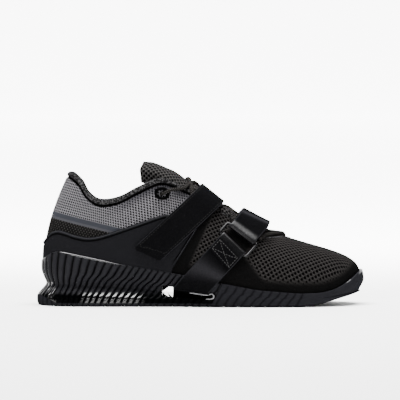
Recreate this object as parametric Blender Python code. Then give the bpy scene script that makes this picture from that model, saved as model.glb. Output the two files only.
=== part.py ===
"""A strapped weightlifting shoe for the right foot, as an assembly of closed solids.

The toe points along +X, the medial side lies at +Y, +Z is up, and the origin is on the floor
under the centre of the heel. Sizes are in metres.
"""

import math

import bmesh
import bpy
import numpy as np
from mathutils import Vector
from mathutils.bvhtree import BVHTree

MM = 0.001

# Driving sizes of the last and the upper
SHOE_LENGTH = 296 * MM
BALL_WIDTH = 100 * MM
HEEL_WIDTH = 70 * MM
COLLAR_HEIGHT = 120.3 * MM
UPPER_WALL = 2.2 * MM
COLLAR_PAD = 3.6 * MM
COLLAR_GROOVE = 0.9 * MM

# Driving sizes of the sole
HEEL_LIFT = 30.5 * MM
RIM_HEIGHT = 48.7 * MM
RIM_WALL = 2.4 * MM
RUBBER_PLATE = 3.1 * MM
TOE_SPRING = 10.2 * MM
RIB_PITCH = 7.6 * MM
RIB_DEPTH = 0.9 * MM
TOE_PITCH = 6.5 * MM
RIB_SWEEP = 25 * MM
NOTCH_PITCH = 11 * MM
NOTCH_DEPTH = 0.45 * MM
NOTCH_SWEEP = 12 * MM
TREAD_PITCH = 15.1 * MM
BALL_TREAD_PITCH = 12.4 * MM
TREAD_WIDTH = 1.8 * MM
TREAD_DEPTH = 1.3 * MM

# Driving sizes of the pieces on and in the upper
CAGE_WALL = 1.3 * MM
CAGE_HEIGHT = 68.4 * MM
TONGUE_WALL = 4.0 * MM
TONGUE_CROWN = 7.0 * MM
TONGUE_REACH = 22 * MM
TONGUE_SINK = 14 * MM
INSOLE_THICKNESS = 4.0 * MM
STRAP_THICKNESS = 1.7 * MM
INSTEP_STRAP_WIDTH = 25 * MM
BALL_STRAP_WIDTH = 26.5 * MM
STRAP_TAB = 17 * MM
STRAP_RETURN = 48 * MM
STRAP_REACH = 51 * MM
RING_DISTANCE = 41 * MM
RING_WIRE = 2.4 * MM
RING_INSIDE = 12 * MM
RING_SPARE = 1.6 * MM
RING_BEND = 2.6 * MM
LACE_WIDTH = 3.2 * MM
EYELET_WIDTH = 10 * MM
EYELET_WIRE = 2.2 * MM

# Clearances
TOUCH = 0.3 * MM
FIT = 0.45 * MM
LIE = 0.5 * MM

# The last, a row for each column from foot edge to opening: heel back, lateral side, toe tip,
# medial side. foot_x and top_x are shares of SHOE_LENGTH ahead of the heel centre, foot_y and
# top_y shares of half the local width, and top_z is a share of COLLAR_HEIGHT. The lower handle
# of the column's curve leans out by flare half widths at rise of its height, and the upper
# handle lies out by spread of the way to the foot edge and down by drop of the height.
LAST_COLUMNS = [
    # foot_x, foot_y, top_x, top_y, top_z, flare, rise, spread, drop
    (-0.101, 0.000, -0.030, 0.000, 1.008, 0.12, 0.33, 0.60, 0.30),
    (-0.090, -0.480, -0.019, -0.330, 1.000, 0.10, 0.33, 0.54, 0.30),
    (-0.055, -0.810, 0.005, -0.570, 0.950, 0.09, 0.33, 0.38, 0.32),
    (0.000, -0.970, 0.027, -0.740, 0.862, 0.09, 0.33, 0.24, 0.34),
    (0.064, -1.010, 0.064, -0.860, 0.803, 0.09, 0.35, 0.15, 0.36),
    (0.135, -1.000, 0.122, -0.910, 0.820, 0.07, 0.36, 0.15, 0.36),
    (0.203, -1.000, 0.186, -0.850, 0.898, 0.05, 0.38, 0.30, 0.36),
    (0.267, -0.995, 0.253, -0.690, 0.962, 0.04, 0.40, 0.48, 0.36),
    (0.331, -0.980, 0.307, -0.524, 0.912, 0.04, 0.42, 0.58, 0.36),
    (0.399, -0.985, 0.372, -0.440, 0.825, 0.05, 0.42, 0.60, 0.34),
    (0.473, -0.980, 0.439, -0.400, 0.712, 0.06, 0.42, 0.62, 0.30),
    (0.547, -1.010, 0.500, -0.440, 0.610, 0.06, 0.42, 0.62, 0.26),
    (0.622, -1.000, 0.547, -0.470, 0.534, 0.06, 0.45, 0.62, 0.22),
    (0.696, -0.910, 0.578, -0.380, 0.520, 0.07, 0.48, 0.64, 0.22),
    (0.764, -0.740, 0.605, -0.220, 0.522, 0.12, 0.52, 0.68, 0.24),
    (0.820, -0.440, 0.625, -0.050, 0.522, 0.23, 0.61, 0.73, 0.28),
    (0.848, 0.040, 0.638, 0.100, 0.514, 0.30, 0.65, 0.75, 0.31),
    (0.836, 0.480, 0.643, 0.230, 0.508, 0.25, 0.64, 0.74, 0.30),
    (0.787, 0.760, 0.630, 0.320, 0.512, 0.13, 0.54, 0.70, 0.26),
    (0.713, 0.920, 0.595, 0.340, 0.540, 0.08, 0.50, 0.66, 0.24),
    (0.632, 0.970, 0.551, 0.330, 0.558, 0.06, 0.46, 0.64, 0.24),
    (0.551, 0.940, 0.500, 0.320, 0.608, 0.06, 0.44, 0.62, 0.27),
    (0.473, 0.850, 0.439, 0.330, 0.700, 0.06, 0.42, 0.60, 0.31),
    (0.399, 0.790, 0.372, 0.366, 0.815, 0.05, 0.42, 0.58, 0.34),
    (0.331, 0.775, 0.307, 0.473, 0.910, 0.04, 0.42, 0.54, 0.36),
    (0.267, 0.805, 0.253, 0.665, 0.942, 0.05, 0.40, 0.46, 0.36),
    (0.203, 0.860, 0.186, 0.829, 0.880, 0.06, 0.38, 0.28, 0.36),
    (0.135, 0.915, 0.122, 0.886, 0.803, 0.07, 0.36, 0.15, 0.36),
    (0.064, 0.960, 0.064, 0.843, 0.787, 0.09, 0.35, 0.15, 0.36),
    (0.000, 0.950, 0.027, 0.729, 0.848, 0.09, 0.33, 0.24, 0.34),
    (-0.055, 0.810, 0.005, 0.570, 0.940, 0.09, 0.33, 0.38, 0.32),
    (-0.090, 0.480, -0.019, 0.330, 0.998, 0.10, 0.33, 0.54, 0.30),
]
LAST = np.array(LAST_COLUMNS)
ROUND = len(LAST_COLUMNS)
TOE_ROW = ROUND // 2

# Heights along the shoe: share of SHOE_LENGTH ahead of the heel centre, share of the size named
RIM_LINE = [
    (-0.105, 0.765), (-0.090, 0.900), (-0.067, 1.000), (-0.034, 0.975), (0.064, 0.855),
    (0.126, 0.766), (0.320, 0.565), (0.430, 0.429), (0.544, 0.298), (0.669, 0.232),
    (0.736, 0.236), (0.775, 0.292), (0.800, 0.374), (0.822, 0.480), (0.850, 0.660),
]
FOOTBED_LINE = [
    (-0.105, 1.000), (0.064, 0.955), (0.203, 0.803), (0.318, 0.630), (0.430, 0.480),
    (0.544, 0.325), (0.669, 0.268), (0.740, 0.275), (0.795, 0.335), (0.850, 0.430),
]
CAGE_LINE = [
    (-0.118, 0.730), (-0.108, 0.770), (-0.088, 0.925), (-0.066, 1.000), (-0.043, 0.987),
    (-0.010, 0.933), (0.029, 0.899), (0.067, 0.921), (0.105, 0.977), (0.157, 1.053),
    (0.218, 1.143), (0.272, 1.219), (0.364, 1.023), (0.420, 0.900),
]
CAGE_FRONT = [(0.262, 0.100), (0.289, 0.504), (0.364, 1.023), (0.420, 1.410)]

# The side of the sole from floor to footbed, and above it to the rim: outward distance from the
# last's foot edge at the heel, the ball and the toe, in shares of SOLE_LEDGE
SOLE_LEDGE = 7.3 * MM
SOLE_SIDE = [
    # level, heel, ball, toe, rib
    (0.00, 0.86, 0.08, -0.38, 0.00),
    (0.12, 1.00, 0.26, -0.08, 0.60),
    (0.30, 0.92, 0.38, 0.20, 1.00),
    (0.46, 0.38, 0.43, 0.36, 1.00),
    (0.63, -0.16, 0.45, 0.47, 1.00),
    (0.82, 0.12, 0.45, 0.55, 1.00),
]
FOOTBED_LEVEL_RIB = 1.0
HALF_RIM_RIB = 0.8
TOE_BULGE = 1.2 * MM

# Rows of the upper between the sole's rim and the opening, with the relief of the collar roll
UPPER_ROWS = [
    # share of the way up, groove
    (0.14, 0.0), (0.31, 0.0), (0.48, 0.0), (0.65, 0.0), (0.80, 0.0),
    (0.905, 0.1), (0.940, -1.0), (0.970, 0.2), (1.000, 0.0),
]
INNER_ROWS = [1.00, 0.91, 0.65, 0.33]
UPPER_ROW_STEPS = [(-4.0, 4.0, 20), (4.0, 12.0, 14), (12.0, 20.0, 24), (20.0, 28.0, 14)]


def ramp(x, start, end):
    """0 before start, 1 after end, and a smooth rise between them."""
    t = min(max((x - start) / (end - start), 0.0), 1.0)
    return t * t * (3 - 2 * t)


def line_height(table, size, x):
    """The height of a line that runs along the shoe, read from its table of shares."""
    shares = np.array(table)
    return float(np.interp(x / SHOE_LENGTH, shares[:, 0], shares[:, 1])) * size


def smooth_line(table, size, x, reach=4 * MM):
    """The same height with its corners eased over a short reach either way."""
    steps = (-1.0, -0.5, 0.0, 0.5, 1.0)
    return sum(line_height(table, size, x + reach * k) for k in steps) / len(steps)


def rim_height(x):
    return smooth_line(RIM_LINE, RIM_HEIGHT, x)


def footbed_height(x):
    return smooth_line(FOOTBED_LINE, HEEL_LIFT, x)


def floor_height(x):
    """The underside: flat under heel and ball, then rising to the toe."""
    start, end, blend = 0.703 * SHOE_LENGTH, 0.850 * SHOE_LENGTH, 10 * MM
    slope = TOE_SPRING / (end - start)
    ahead = x - start
    if ahead <= -blend:
        return 0.0
    if ahead < blend:
        return slope * (ahead + blend) ** 2 / (4 * blend)
    return slope * ahead


def half_width(x):
    """Half the last's reference width, from the heel's to the ball's."""
    share = ramp(x, 0.20 * SHOE_LENGTH, 0.507 * SHOE_LENGTH)
    return (HEEL_WIDTH + (BALL_WIDTH - HEEL_WIDTH) * share) / 2


def column_values(u):
    """The last's table read at row u by a closed cubic through its rows."""
    i = math.floor(u)
    f = u - i
    a, b, c, d = (LAST[(i + k) % ROUND] for k in (-1, 0, 1, 2))
    return b + 0.5 * f * (c - a + f * (2 * a - 5 * b + 4 * c - d + f * (3 * (b - c) + d - a)))


def foot_edge(u):
    """The foot edge of the last in plan."""
    values = column_values(u)
    x = values[0] * SHOE_LENGTH
    return Vector((x, values[1] * half_width(x)))


def foot_outward(u):
    """The outward direction in plan at the foot edge."""
    along = foot_edge(u + 0.05) - foot_edge(u - 0.05)
    return Vector((along.y, -along.x)).normalized()


def collar_share(u):
    """1 along the padded collar and 0 along the throat and toe."""
    from_heel = min(u % ROUND, ROUND - u % ROUND)
    return 1 - ramp(from_heel, 7.0, 9.2)


COLUMN_CURVES = {}


def column_curve(u):
    """The four control points of the column's curve from foot edge to opening."""
    key = round(u % ROUND, 6)
    if key not in COLUMN_CURVES:
        values = column_values(u)
        edge, out = foot_edge(u), foot_outward(u)
        width = half_width(edge.x)
        foot = Vector((edge.x, edge.y, footbed_height(edge.x) + TOUCH))
        top_x = values[2] * SHOE_LENGTH
        crest = (UPPER_WALL + COLLAR_PAD * collar_share(u)) * 0.42
        top = Vector((top_x, values[3] * half_width(top_x), values[4] * COLLAR_HEIGHT - crest))
        rise = top.z - foot.z
        flare, low_share, spread, drop = values[5:9]
        low = foot + Vector((out.x * flare * width, out.y * flare * width, low_share * rise))
        high = top + Vector((spread * (foot.x - top.x), spread * (foot.y - top.y), -drop * rise))
        COLUMN_CURVES[key] = (foot, low, high, top)
    return COLUMN_CURVES[key]


def last_point(u, v):
    """The upper's outer form: v is 0 at the foot edge and 1 at the opening."""
    foot, low, high, top = column_curve(u)
    w = 1 - v
    return foot * w**3 + low * (3 * w * w * v) + high * (3 * w * v * v) + top * v**3


def last_normal(u, v):
    """The outward direction of the upper's form."""
    along = last_point(u + 0.04, v) - last_point(u - 0.04, v)
    up = last_point(u, min(v + 0.01, 1)) - last_point(u, max(v - 0.01, 0))
    return along.cross(up).normalized()


def share_at(u, reached):
    """The first v up the column where reached(point) turns true."""
    low, high = 0.0, 1.0
    for _ in range(22):
        middle = (low + high) / 2
        if reached(last_point(u, middle)):
            high = middle
        else:
            low = middle
    return high


def rim_share(u, part=1.0):
    """The v where the column passes the sole's rim, or part of the way from footbed to rim."""
    x = foot_edge(u).x
    level = footbed_height(x) + TOUCH + part * (rim_height(x) - footbed_height(x) - TOUCH)
    return share_at(u, lambda p: p.z > level)


def upper_share(u, g):
    """v at share g of the way from the sole's rim to the opening."""
    rim = rim_share(u)
    return rim + (1 - rim) * g


def wall_thickness(u, g):
    """The upper's wall, padded below the collar."""
    return UPPER_WALL + COLLAR_PAD * collar_share(u) * ramp(g, 0.35, 0.75)


def outer_point(u, v, outward=0.0):
    return last_point(u, v) + last_normal(u, v) * outward


def new_object(name, bm, material, smooth_angle=40):
    """Makes an object of a finished bmesh, with its faces pointing out and round parts smooth."""
    bmesh.ops.recalc_face_normals(bm, faces=bm.faces)
    mesh = bpy.data.meshes.new(name)
    bm.to_mesh(mesh)
    bm.free()
    mesh.shade_smooth()
    mesh.set_sharp_from_angle(angle=math.radians(smooth_angle))
    mesh.materials.append(material)
    obj = bpy.data.objects.new(name, mesh)
    bpy.context.scene.collection.objects.link(obj)
    return obj


def bridge_rows(bm, rows, closed):
    """Joins rows of vertices, each as long as the next, with four-sided faces."""
    for lower, higher in zip(rows, rows[1:]):
        count = len(lower)
        for i in range(count if closed else count - 1):
            j = (i + 1) % count
            ring = [lower[i], lower[j], higher[j], higher[i]]
            bm.faces.new([v for k, v in enumerate(ring) if v not in ring[:k]])


def vertex_rows(bm, rows):
    return [[bm.verts.new(p) for p in row] for row in rows]


def material(name, colour, roughness, metallic=0.0):
    """A Principled material in the piece's plain colour."""
    made = bpy.data.materials.new(name)
    made.use_nodes = True
    shader = made.node_tree.nodes["Principled BSDF"]
    shader.inputs["Base Color"].default_value = (*colour, 1)
    shader.inputs["Roughness"].default_value = roughness
    shader.inputs["Metallic"].default_value = metallic
    return made


def apply_modifier(obj, kind, **settings):
    """Adds a modifier, applies it to the object's mesh and removes it."""
    modifier = obj.modifiers.new(kind.title(), kind)
    for key, value in settings.items():
        setattr(modifier, key, value)
    graph = bpy.context.evaluated_depsgraph_get()
    mesh = bpy.data.meshes.new_from_object(obj.evaluated_get(graph))
    obj.modifiers.remove(modifier)
    obj.data = mesh


def boolean(obj, other, operation):
    """Cuts or joins obj with other, which is then removed."""
    apply_modifier(obj, "BOOLEAN", object=other, operation=operation, solver="EXACT")
    bpy.data.objects.remove(other)


def prism(name, outline, low_y, high_y, skin):
    """A closed prism across the shoe over an outline of (x, z) points."""
    bm = bmesh.new()
    face = bm.faces.new([bm.verts.new((x, low_y, z)) for x, z in outline])
    moved = bmesh.ops.extrude_face_region(bm, geom=[face])["geom"]
    verts = [g for g in moved if isinstance(g, bmesh.types.BMVert)]
    bmesh.ops.translate(bm, verts=verts, vec=(0, high_y - low_y, 0))
    return new_object(name, bm, skin)


def tube(name, line, width, sides, skin, closed=False):
    """A round tube along a line of points, capped unless it closes on itself."""
    count = len(line)
    rings = []
    side = None
    for i, point in enumerate(line):
        if closed:
            along = line[(i + 1) % count] - line[i - 1]
        else:
            along = line[min(i + 1, count - 1)] - line[max(i - 1, 0)]
        along.normalize()
        if side is None:
            side = along.cross(Vector((0.3, 0.2, 1))).normalized()
        side = (side - along * side.dot(along)).normalized()
        other = along.cross(side)
        ring = []
        for j in range(sides):
            turn = 2 * math.pi * j / sides
            offset = side * math.cos(turn) + other * math.sin(turn)
            ring.append(point + offset * width / 2)
        rings.append(ring)
    bm = bmesh.new()
    rows = vertex_rows(bm, rings)
    bridge_rows(bm, [*rows, rows[0]] if closed else rows, closed=True)
    if not closed:
        bm.faces.new(rows[0])
        bm.faces.new(list(reversed(rows[-1])))
    return new_object(name, bm, skin)


# Sole

def side_arc(side):
    """Row numbers and arc lengths of the foot edge along one side, from heel back to toe tip."""
    rows = np.linspace(0, TOE_ROW, 400)
    points = [foot_edge(side * r) for r in rows]
    steps = [(b - a).length for a, b in zip(points, points[1:])]
    return rows, np.concatenate([[0], np.cumsum(steps)])


def rib_sweep(s):
    """How far a rib's head leans ahead of its root at arc length s from the heel back."""
    heel = RIB_SWEEP * ramp(s, 0.05 * SHOE_LENGTH, 0.28 * SHOE_LENGTH)
    ball = NOTCH_SWEEP * (1 - ramp(s, 0.74 * SHOE_LENGTH, 0.95 * SHOE_LENGTH))
    return heel + (ball - heel) * ramp(s, 0.40 * SHOE_LENGTH, 0.62 * SHOE_LENGTH)


def rib_stations():
    """Arc lengths of the side's columns, with the relief that each one carries."""
    ball_start, toe_start = 0.575 * SHOE_LENGTH, 0.86 * SHOE_LENGTH
    stations = []
    ribs = round(ball_start / RIB_PITCH)
    for k in range(2 * ribs):
        stations.append((ball_start * (k + 1) / (2 * ribs), RIB_DEPTH * (-0.5 if k % 2 else 0.5)))
    notches = round((toe_start - ball_start) / NOTCH_PITCH)
    for k in range(notches):
        start = ball_start + (toe_start - ball_start) * k / notches
        stations.append((start + 0.55 * NOTCH_PITCH, 0.0))
        stations.append((start + 0.85 * NOTCH_PITCH, -NOTCH_DEPTH))
    s = toe_start + TOE_PITCH / 2
    while s < 1.11 * SHOE_LENGTH - TOE_PITCH / 2:
        stations.append((s, 0.0))
        s += TOE_PITCH
    return stations


def side_rows(side):
    """Row numbers at foot and head of each column on one side, with the column's relief."""
    rows, lengths = side_arc(side)
    total = lengths[-1]
    found = []
    scale = total / (1.11 * SHOE_LENGTH)
    for s, relief in rib_stations():
        sweep = rib_sweep(s)
        ends = [min(max((s + sweep * k) * scale, 0.0), total) for k in (-0.5, 0.5)]
        foot, head = (side * float(np.interp(e, lengths, rows)) for e in ends)
        found.append((foot, head, relief))
    return found


def sole_point(u, level, heel, ball, toe, relief):
    """A point of the sole's side below the footbed."""
    edge, out = foot_edge(u), foot_outward(u)
    at_heel = 1 - ramp(edge.x, 0.20 * SHOE_LENGTH, 0.42 * SHOE_LENGTH)
    at_toe = ramp(edge.x, 0.72 * SHOE_LENGTH, 0.835 * SHOE_LENGTH)
    ledge = heel * at_heel + toe * at_toe + ball * (1 - at_heel - at_toe)
    plan = edge + out * (ledge * SOLE_LEDGE + relief)
    bottom = floor_height(edge.x)
    return Vector((plan.x, plan.y, bottom + level * (footbed_height(edge.x) - bottom)))


def cup_point(u, part, outward):
    """A point beside the last between footbed level and the rim, outward of its surface."""
    if part == 0:
        edge, out = foot_edge(u), foot_outward(u)
        plan = edge + out * outward
        return Vector((plan.x, plan.y, footbed_height(edge.x)))
    point = last_point(u, rim_share(u, part))
    out = foot_outward(u)
    return Vector((point.x + out.x * outward, point.y + out.y * outward, point.z))


def sole_column(foot, head, relief):
    """One column of the cup sole, from the floor up its side, over the rim to the footbed."""
    levels = len(SOLE_SIDE) + 2
    points = []
    for k, (level, heel, ball, toe, rib) in enumerate(SOLE_SIDE):
        u = foot + (head - foot) * k / levels
        points.append(sole_point(u, level, heel, ball, toe, relief * rib))
    skin = FIT + RIM_WALL
    u = foot + (head - foot) * len(SOLE_SIDE) / levels
    points.append(cup_point(u, 0, skin + relief * FOOTBED_LEVEL_RIB))
    u = foot + (head - foot) * (len(SOLE_SIDE) + 1) / levels
    bulge = TOE_BULGE * ramp(foot_edge(u).x, 0.72 * SHOE_LENGTH, 0.83 * SHOE_LENGTH)
    points.append(cup_point(u, 0.5, skin + bulge + relief * HALF_RIM_RIB))
    points.append(cup_point(head, 1.0, skin))
    points.append(cup_point(head, 1.0, FIT))
    points.append(cup_point(head, 0.5, FIT))
    points.append(cup_point(head, 0.0, FIT))
    return points


def cross_strips(bm, lateral, medial, count, first, last):
    """Fills between two facing rows of vertices, with a fan to one vertex at either end."""
    rows = []
    for a, b in zip(lateral, medial):
        inner = [bm.verts.new(a.co.lerp(b.co, k / count)) for k in range(1, count)]
        rows.append([a, *inner, b])
    bridge_rows(bm, rows, closed=False)
    for tip, row in ((first, rows[0]), (last, rows[-1])):
        for a, b in zip(row, row[1:]):
            bm.faces.new([tip, a, b])


def sole_cup(name, skin):
    """The whole cup sole in one body: floor, ribbed sides, rim and footbed."""
    heel = sole_column(0, 0, -RIB_DEPTH / 2)
    toe = sole_column(TOE_ROW, TOE_ROW, 0)
    lateral = [sole_column(*row) for row in side_rows(1)]
    medial = [sole_column(*row) for row in side_rows(-1)]
    bm = bmesh.new()
    columns = vertex_rows(bm, [heel, *lateral, toe, *reversed(medial)])
    bridge_rows(bm, [*columns, columns[0]], closed=False)
    n = len(lateral)
    facing = list(zip(columns[1 : n + 1], reversed(columns[n + 2 :])))
    for level in (0, -1):
        cross_strips(
            bm,
            [a[level] for a, _ in facing],
            [b[level] for _, b in facing],
            1,
            columns[0][level],
            columns[n + 1][level],
        )
    flat = [f for f in bm.faces if all(v.co.z == 0 for v in f.verts)]
    bmesh.ops.dissolve_faces(bm, faces=flat)
    return new_object(name, bm, skin)


def joint_outline(gap):
    """The (x, z) outline over which the heel block replaces the rubber, drawn in by gap."""
    rear, high = -0.3 * SHOE_LENGTH, 3 * RIM_HEIGHT
    wedge = 3 * RUBBER_PLATE + gap
    plate = RUBBER_PLATE + gap
    front = 0.409 * SHOE_LENGTH - gap
    lean = 0.034 * SHOE_LENGTH
    return [
        (rear, wedge),
        (-0.112 * SHOE_LENGTH, wedge),
        (-0.066 * SHOE_LENGTH, plate),
        (front, plate),
        (front + lean, plate + 0.4 * RIM_HEIGHT),
        (front + lean, high),
        (rear, high),
    ]


def slot_outline():
    """The (x, z) outline of the strap's slot through the arch, round at its front end."""
    x0, x1 = 0.257 * SHOE_LENGTH, 0.418 * SHOE_LENGTH
    low0, low1, high0, high1 = (h * HEEL_LIFT for h in (0.31, 0.21, 0.62, 0.43))
    radius = (high1 - low1) / 2
    centre = (x1 - radius, (low1 + high1) / 2)
    turns = np.linspace(-math.pi / 2, math.pi / 2, 7)
    nose = [(centre[0] + radius * math.cos(a), centre[1] + radius * math.sin(a)) for a in turns]
    return [(x0, low0), *nose, (x0, high0)]


def tread_cutter(skin):
    """Bars across the underside: wide pitch under heel and arch, close pitch under the ball."""
    bm = bmesh.new()
    reach, below = BALL_WIDTH, 2 * TREAD_DEPTH
    x = -0.085 * SHOE_LENGTH
    while x < 0.69 * SHOE_LENGTH:
        made = bmesh.ops.create_cube(bm, size=1)["verts"]
        for v in made:
            v.co.x = x + v.co.x * TREAD_WIDTH - 0.12 * v.co.y * reach
            v.co.y *= 2 * reach
            v.co.z = TREAD_DEPTH if v.co.z > 0 else -below
        x += TREAD_PITCH if x < 0.42 * SHOE_LENGTH else BALL_TREAD_PITCH
    return new_object("tread_cutter", bm, skin)


def make_sole(rubber, gloss):
    """The rubber outsole with its cupped forefoot, and the hard heel block that it carries."""
    outsole = sole_cup("outsole", rubber)
    reach = 2 * BALL_WIDTH
    boolean(outsole, prism("joint_cutter", joint_outline(0), -reach, reach, rubber), "DIFFERENCE")
    boolean(outsole, tread_cutter(rubber), "DIFFERENCE")
    block = sole_cup("heel_block", gloss)
    boolean(block, prism("joint_shape", joint_outline(TOUCH), -reach, reach, gloss), "INTERSECT")
    boolean(block, prism("slot_cutter", slot_outline(), -reach, reach, gloss), "DIFFERENCE")
    return outsole, block


# Upper, cage, tongue and insole

def upper_column(u):
    """One column of the upper's wall: up the outside, over the opening's edge, down inside."""
    outside = [last_point(u, 0), last_point(u, rim_share(u, 0.5)), last_point(u, rim_share(u))]
    for g, groove in UPPER_ROWS:
        relief = COLLAR_GROOVE * groove * collar_share(u)
        outside.append(outer_point(u, upper_share(u, g), relief))
    inside = []
    for g in INNER_ROWS:
        inside.append(outer_point(u, upper_share(u, g), -wall_thickness(u, g)))
    out = foot_outward(u)
    inward = Vector((out.x, out.y, 0)) * -UPPER_WALL
    inside.append(last_point(u, rim_share(u)) + inward)
    inside.append(last_point(u, 0) + inward)
    crest = (outside[-1] + inside[0]) / 2
    up = last_point(u, 1) - last_point(u, 0.97)
    crest += up.normalized() * wall_thickness(u, 1) * 0.42
    return [*outside, crest, *inside]


def make_upper(skin):
    bm = bmesh.new()
    rows = [u for a, b, n in UPPER_ROW_STEPS for u in np.linspace(a, b, n, endpoint=False)]
    columns = [upper_column(u) for u in rows]
    rings = vertex_rows(bm, zip(*columns))
    bridge_rows(bm, [*rings, rings[0]], closed=True)
    return new_object("upper", bm, skin)


def cage_span(u):
    """The v range that the cage covers on column u."""
    x = foot_edge(u).x
    low = share_at(u, lambda p: p.z > rim_height(x) + LIE)
    front = share_at(u, lambda p: p.z > line_height(CAGE_FRONT, CAGE_HEIGHT, p.x))
    if x > CAGE_FRONT[0][0] * SHOE_LENGTH:
        low = max(low, front)
    high = share_at(u, lambda p: p.z > smooth_line(CAGE_LINE, CAGE_HEIGHT, p.x))
    return low, high


def cage_end(side):
    """The row number where the cage's front and top lines meet on one side."""
    start, end = 7.0, 10.0
    for _ in range(20):
        middle = (start + end) / 2
        low, high = cage_span(side * middle)
        if high - low > 0.012:
            start = middle
        else:
            end = middle
    return start


def make_cage(skin):
    """The wrapped heel and midfoot cage, a sheet that follows the upper at a fixed distance."""
    rows_up = 4
    ends = (cage_end(-1), cage_end(1))
    columns = []
    for u in np.linspace(-ends[0], ends[1], 35):
        low, high = cage_span(u)
        shares = [low + (high - low) * k / rows_up for k in range(rows_up + 1)]
        inner = [outer_point(u, v, FIT) for v in shares]
        outer = [outer_point(u, v, FIT + CAGE_WALL) for v in shares]
        columns.append([*inner, *reversed(outer)])
    bm = bmesh.new()
    rows = vertex_rows(bm, columns)
    bridge_rows(bm, rows, closed=True)
    bm.faces.new(rows[0])
    bm.faces.new(list(reversed(rows[-1])))
    return new_object("cage", bm, skin)


def tongue_point(u, g):
    """A point just under the upper's inner face."""
    depth = wall_thickness(u, g) + LIE + TONGUE_SINK * (1 - g)
    return outer_point(u, upper_share(u, g), -depth)


def tongue_section(u):
    """The tongue across the throat at row u: under both edges, and crowned between them."""
    lateral = [tongue_point(u, g) for g in (0.88, 0.94, 1.0)]
    medial = [tongue_point(-u, g) for g in (1.0, 0.94, 0.88)]
    middle = []
    for k in range(1, 6):
        t = k / 6
        crown = TONGUE_CROWN * (1.3 - 1.2 * ramp(u, 7.5, 10.5)) * 4 * t * (1 - t)
        point = lateral[-1].lerp(medial[0], t)
        middle.append(point + Vector((0.35 * crown, 0, 0.94 * crown)))
    return [*lateral, *middle, *medial]


def tongue_end_section(base, share):
    """The tongue above the collar, share of the way to its free end."""
    moved = []
    centre = base[len(base) // 2]
    for point in base:
        narrowed = Vector((point.x, point.y * (1 - 0.22 * share), point.z))
        narrowed.z = centre.z + (point.z - centre.z) * (1 - 0.18 * share)
        lift = 0.50 * share - 0.17 * share * share
        moved.append(narrowed + Vector((-TONGUE_REACH * share, 0, TONGUE_REACH * lift)))
    return moved


def make_tongue(skin):
    first = tongue_section(7.3)
    sections = [tongue_end_section(first, s) for s in (1.0, 0.94, 0.6, 0.3)]
    sections += [tongue_section(u) for u in (7.3, 8.0, 9.0, 10.0, 11.0, 12.0, 13.0)]
    sections.append([tongue_point(u, 0.90) for u in np.linspace(14.5, ROUND - 14.5, 11)])
    bm = bmesh.new()
    outside = sections
    inside = []
    for i, section in enumerate(sections):
        before, after = sections[max(i - 1, 0)], sections[min(i + 1, len(sections) - 1)]
        row = []
        for j, point in enumerate(section):
            across = section[min(j + 1, len(section) - 1)] - section[max(j - 1, 0)]
            along = after[j] - before[j]
            normal = along.cross(across).normalized()
            edge = min(j, len(section) - 1 - j) / 3
            thick = TONGUE_WALL * min(1.0, 0.35 + 0.65 * edge) * (0.45 if i == 0 else 1.0)
            row.append(point - normal * thick)
        inside.append(row)
    rings = [[*o, *reversed(i)] for o, i in zip(outside, inside)]
    rows = vertex_rows(bm, rings)
    bridge_rows(bm, rows, closed=True)
    for row in (rows[0], rows[-1]):
        half = len(row) // 2
        for j in range(half - 1):
            bm.faces.new([row[j], row[j + 1], row[-2 - j], row[-1 - j]])
    return new_object("tongue", bm, skin)


def make_insole(skin):
    """The loose insole on the footbed, inside the upper's foot edge."""
    inset = UPPER_WALL + 2 * TOUCH
    count = 22
    rows_of = {}
    for side in (1, -1):
        columns = []
        for k in range(1, count):
            u = side * TOE_ROW * k / count
            plan = foot_edge(u) - foot_outward(u) * inset
            low = footbed_height(plan.x) + TOUCH
            thick = INSOLE_THICKNESS
            columns.append([(plan.x, plan.y, low), (plan.x, plan.y, low + thick)])
        rows_of[side] = columns
    ends = []
    for u in (0, TOE_ROW):
        plan = foot_edge(u) - foot_outward(u) * inset
        low = footbed_height(plan.x) + TOUCH
        ends.append([(plan.x, plan.y, low), (plan.x, plan.y, low + INSOLE_THICKNESS)])
    bm = bmesh.new()
    order = [ends[0], *rows_of[1], ends[1], *reversed(rows_of[-1])]
    columns = vertex_rows(bm, order)
    bridge_rows(bm, [*columns, columns[0]], closed=False)
    n = len(rows_of[1])
    facing = list(zip(columns[1 : n + 1], reversed(columns[n + 2 :])))
    for level in (0, 1):
        lateral = [a[level] for a, _ in facing]
        medial = [b[level] for _, b in facing]
        cross_strips(bm, lateral, medial, 1, columns[0][level], columns[n + 1][level])
    return new_object("insole", bm, skin)


# Laces and eyelets

# Row numbers of the eyelets from toe to collar, and how far up the upper each one sits
LATERAL_EYELETS = [(11.9, 0.90), (11.1, 0.92), (10.4, 0.92), (9.5, 0.92), (8.6, 0.91), (7.0, 0.86)]
MEDIAL_EYELETS = [(13.35, 0.92), (12.3, 0.92), (11.0, 0.92), (10.1, 0.92), (9.2, 0.91), (7.1, 0.86)]
THROAT_EDGE = (8.25, 0.99)


def surface_tree(objects):
    """A search tree over the faces of several objects."""
    points, faces = [], []
    for obj in objects:
        start = len(points)
        points += [v.co.copy() for v in obj.data.vertices]
        faces += [[start + i for i in p.vertices] for p in obj.data.polygons]
    return BVHTree.FromPolygons(points, faces)


def lace_place(row, g, lift=0.0):
    """A point of the lace's middle as it lies on the upper, or lift above that."""
    v = upper_share(row, g)
    return outer_point(row, v, LACE_WIDTH / 2 + LIE + lift)


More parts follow.
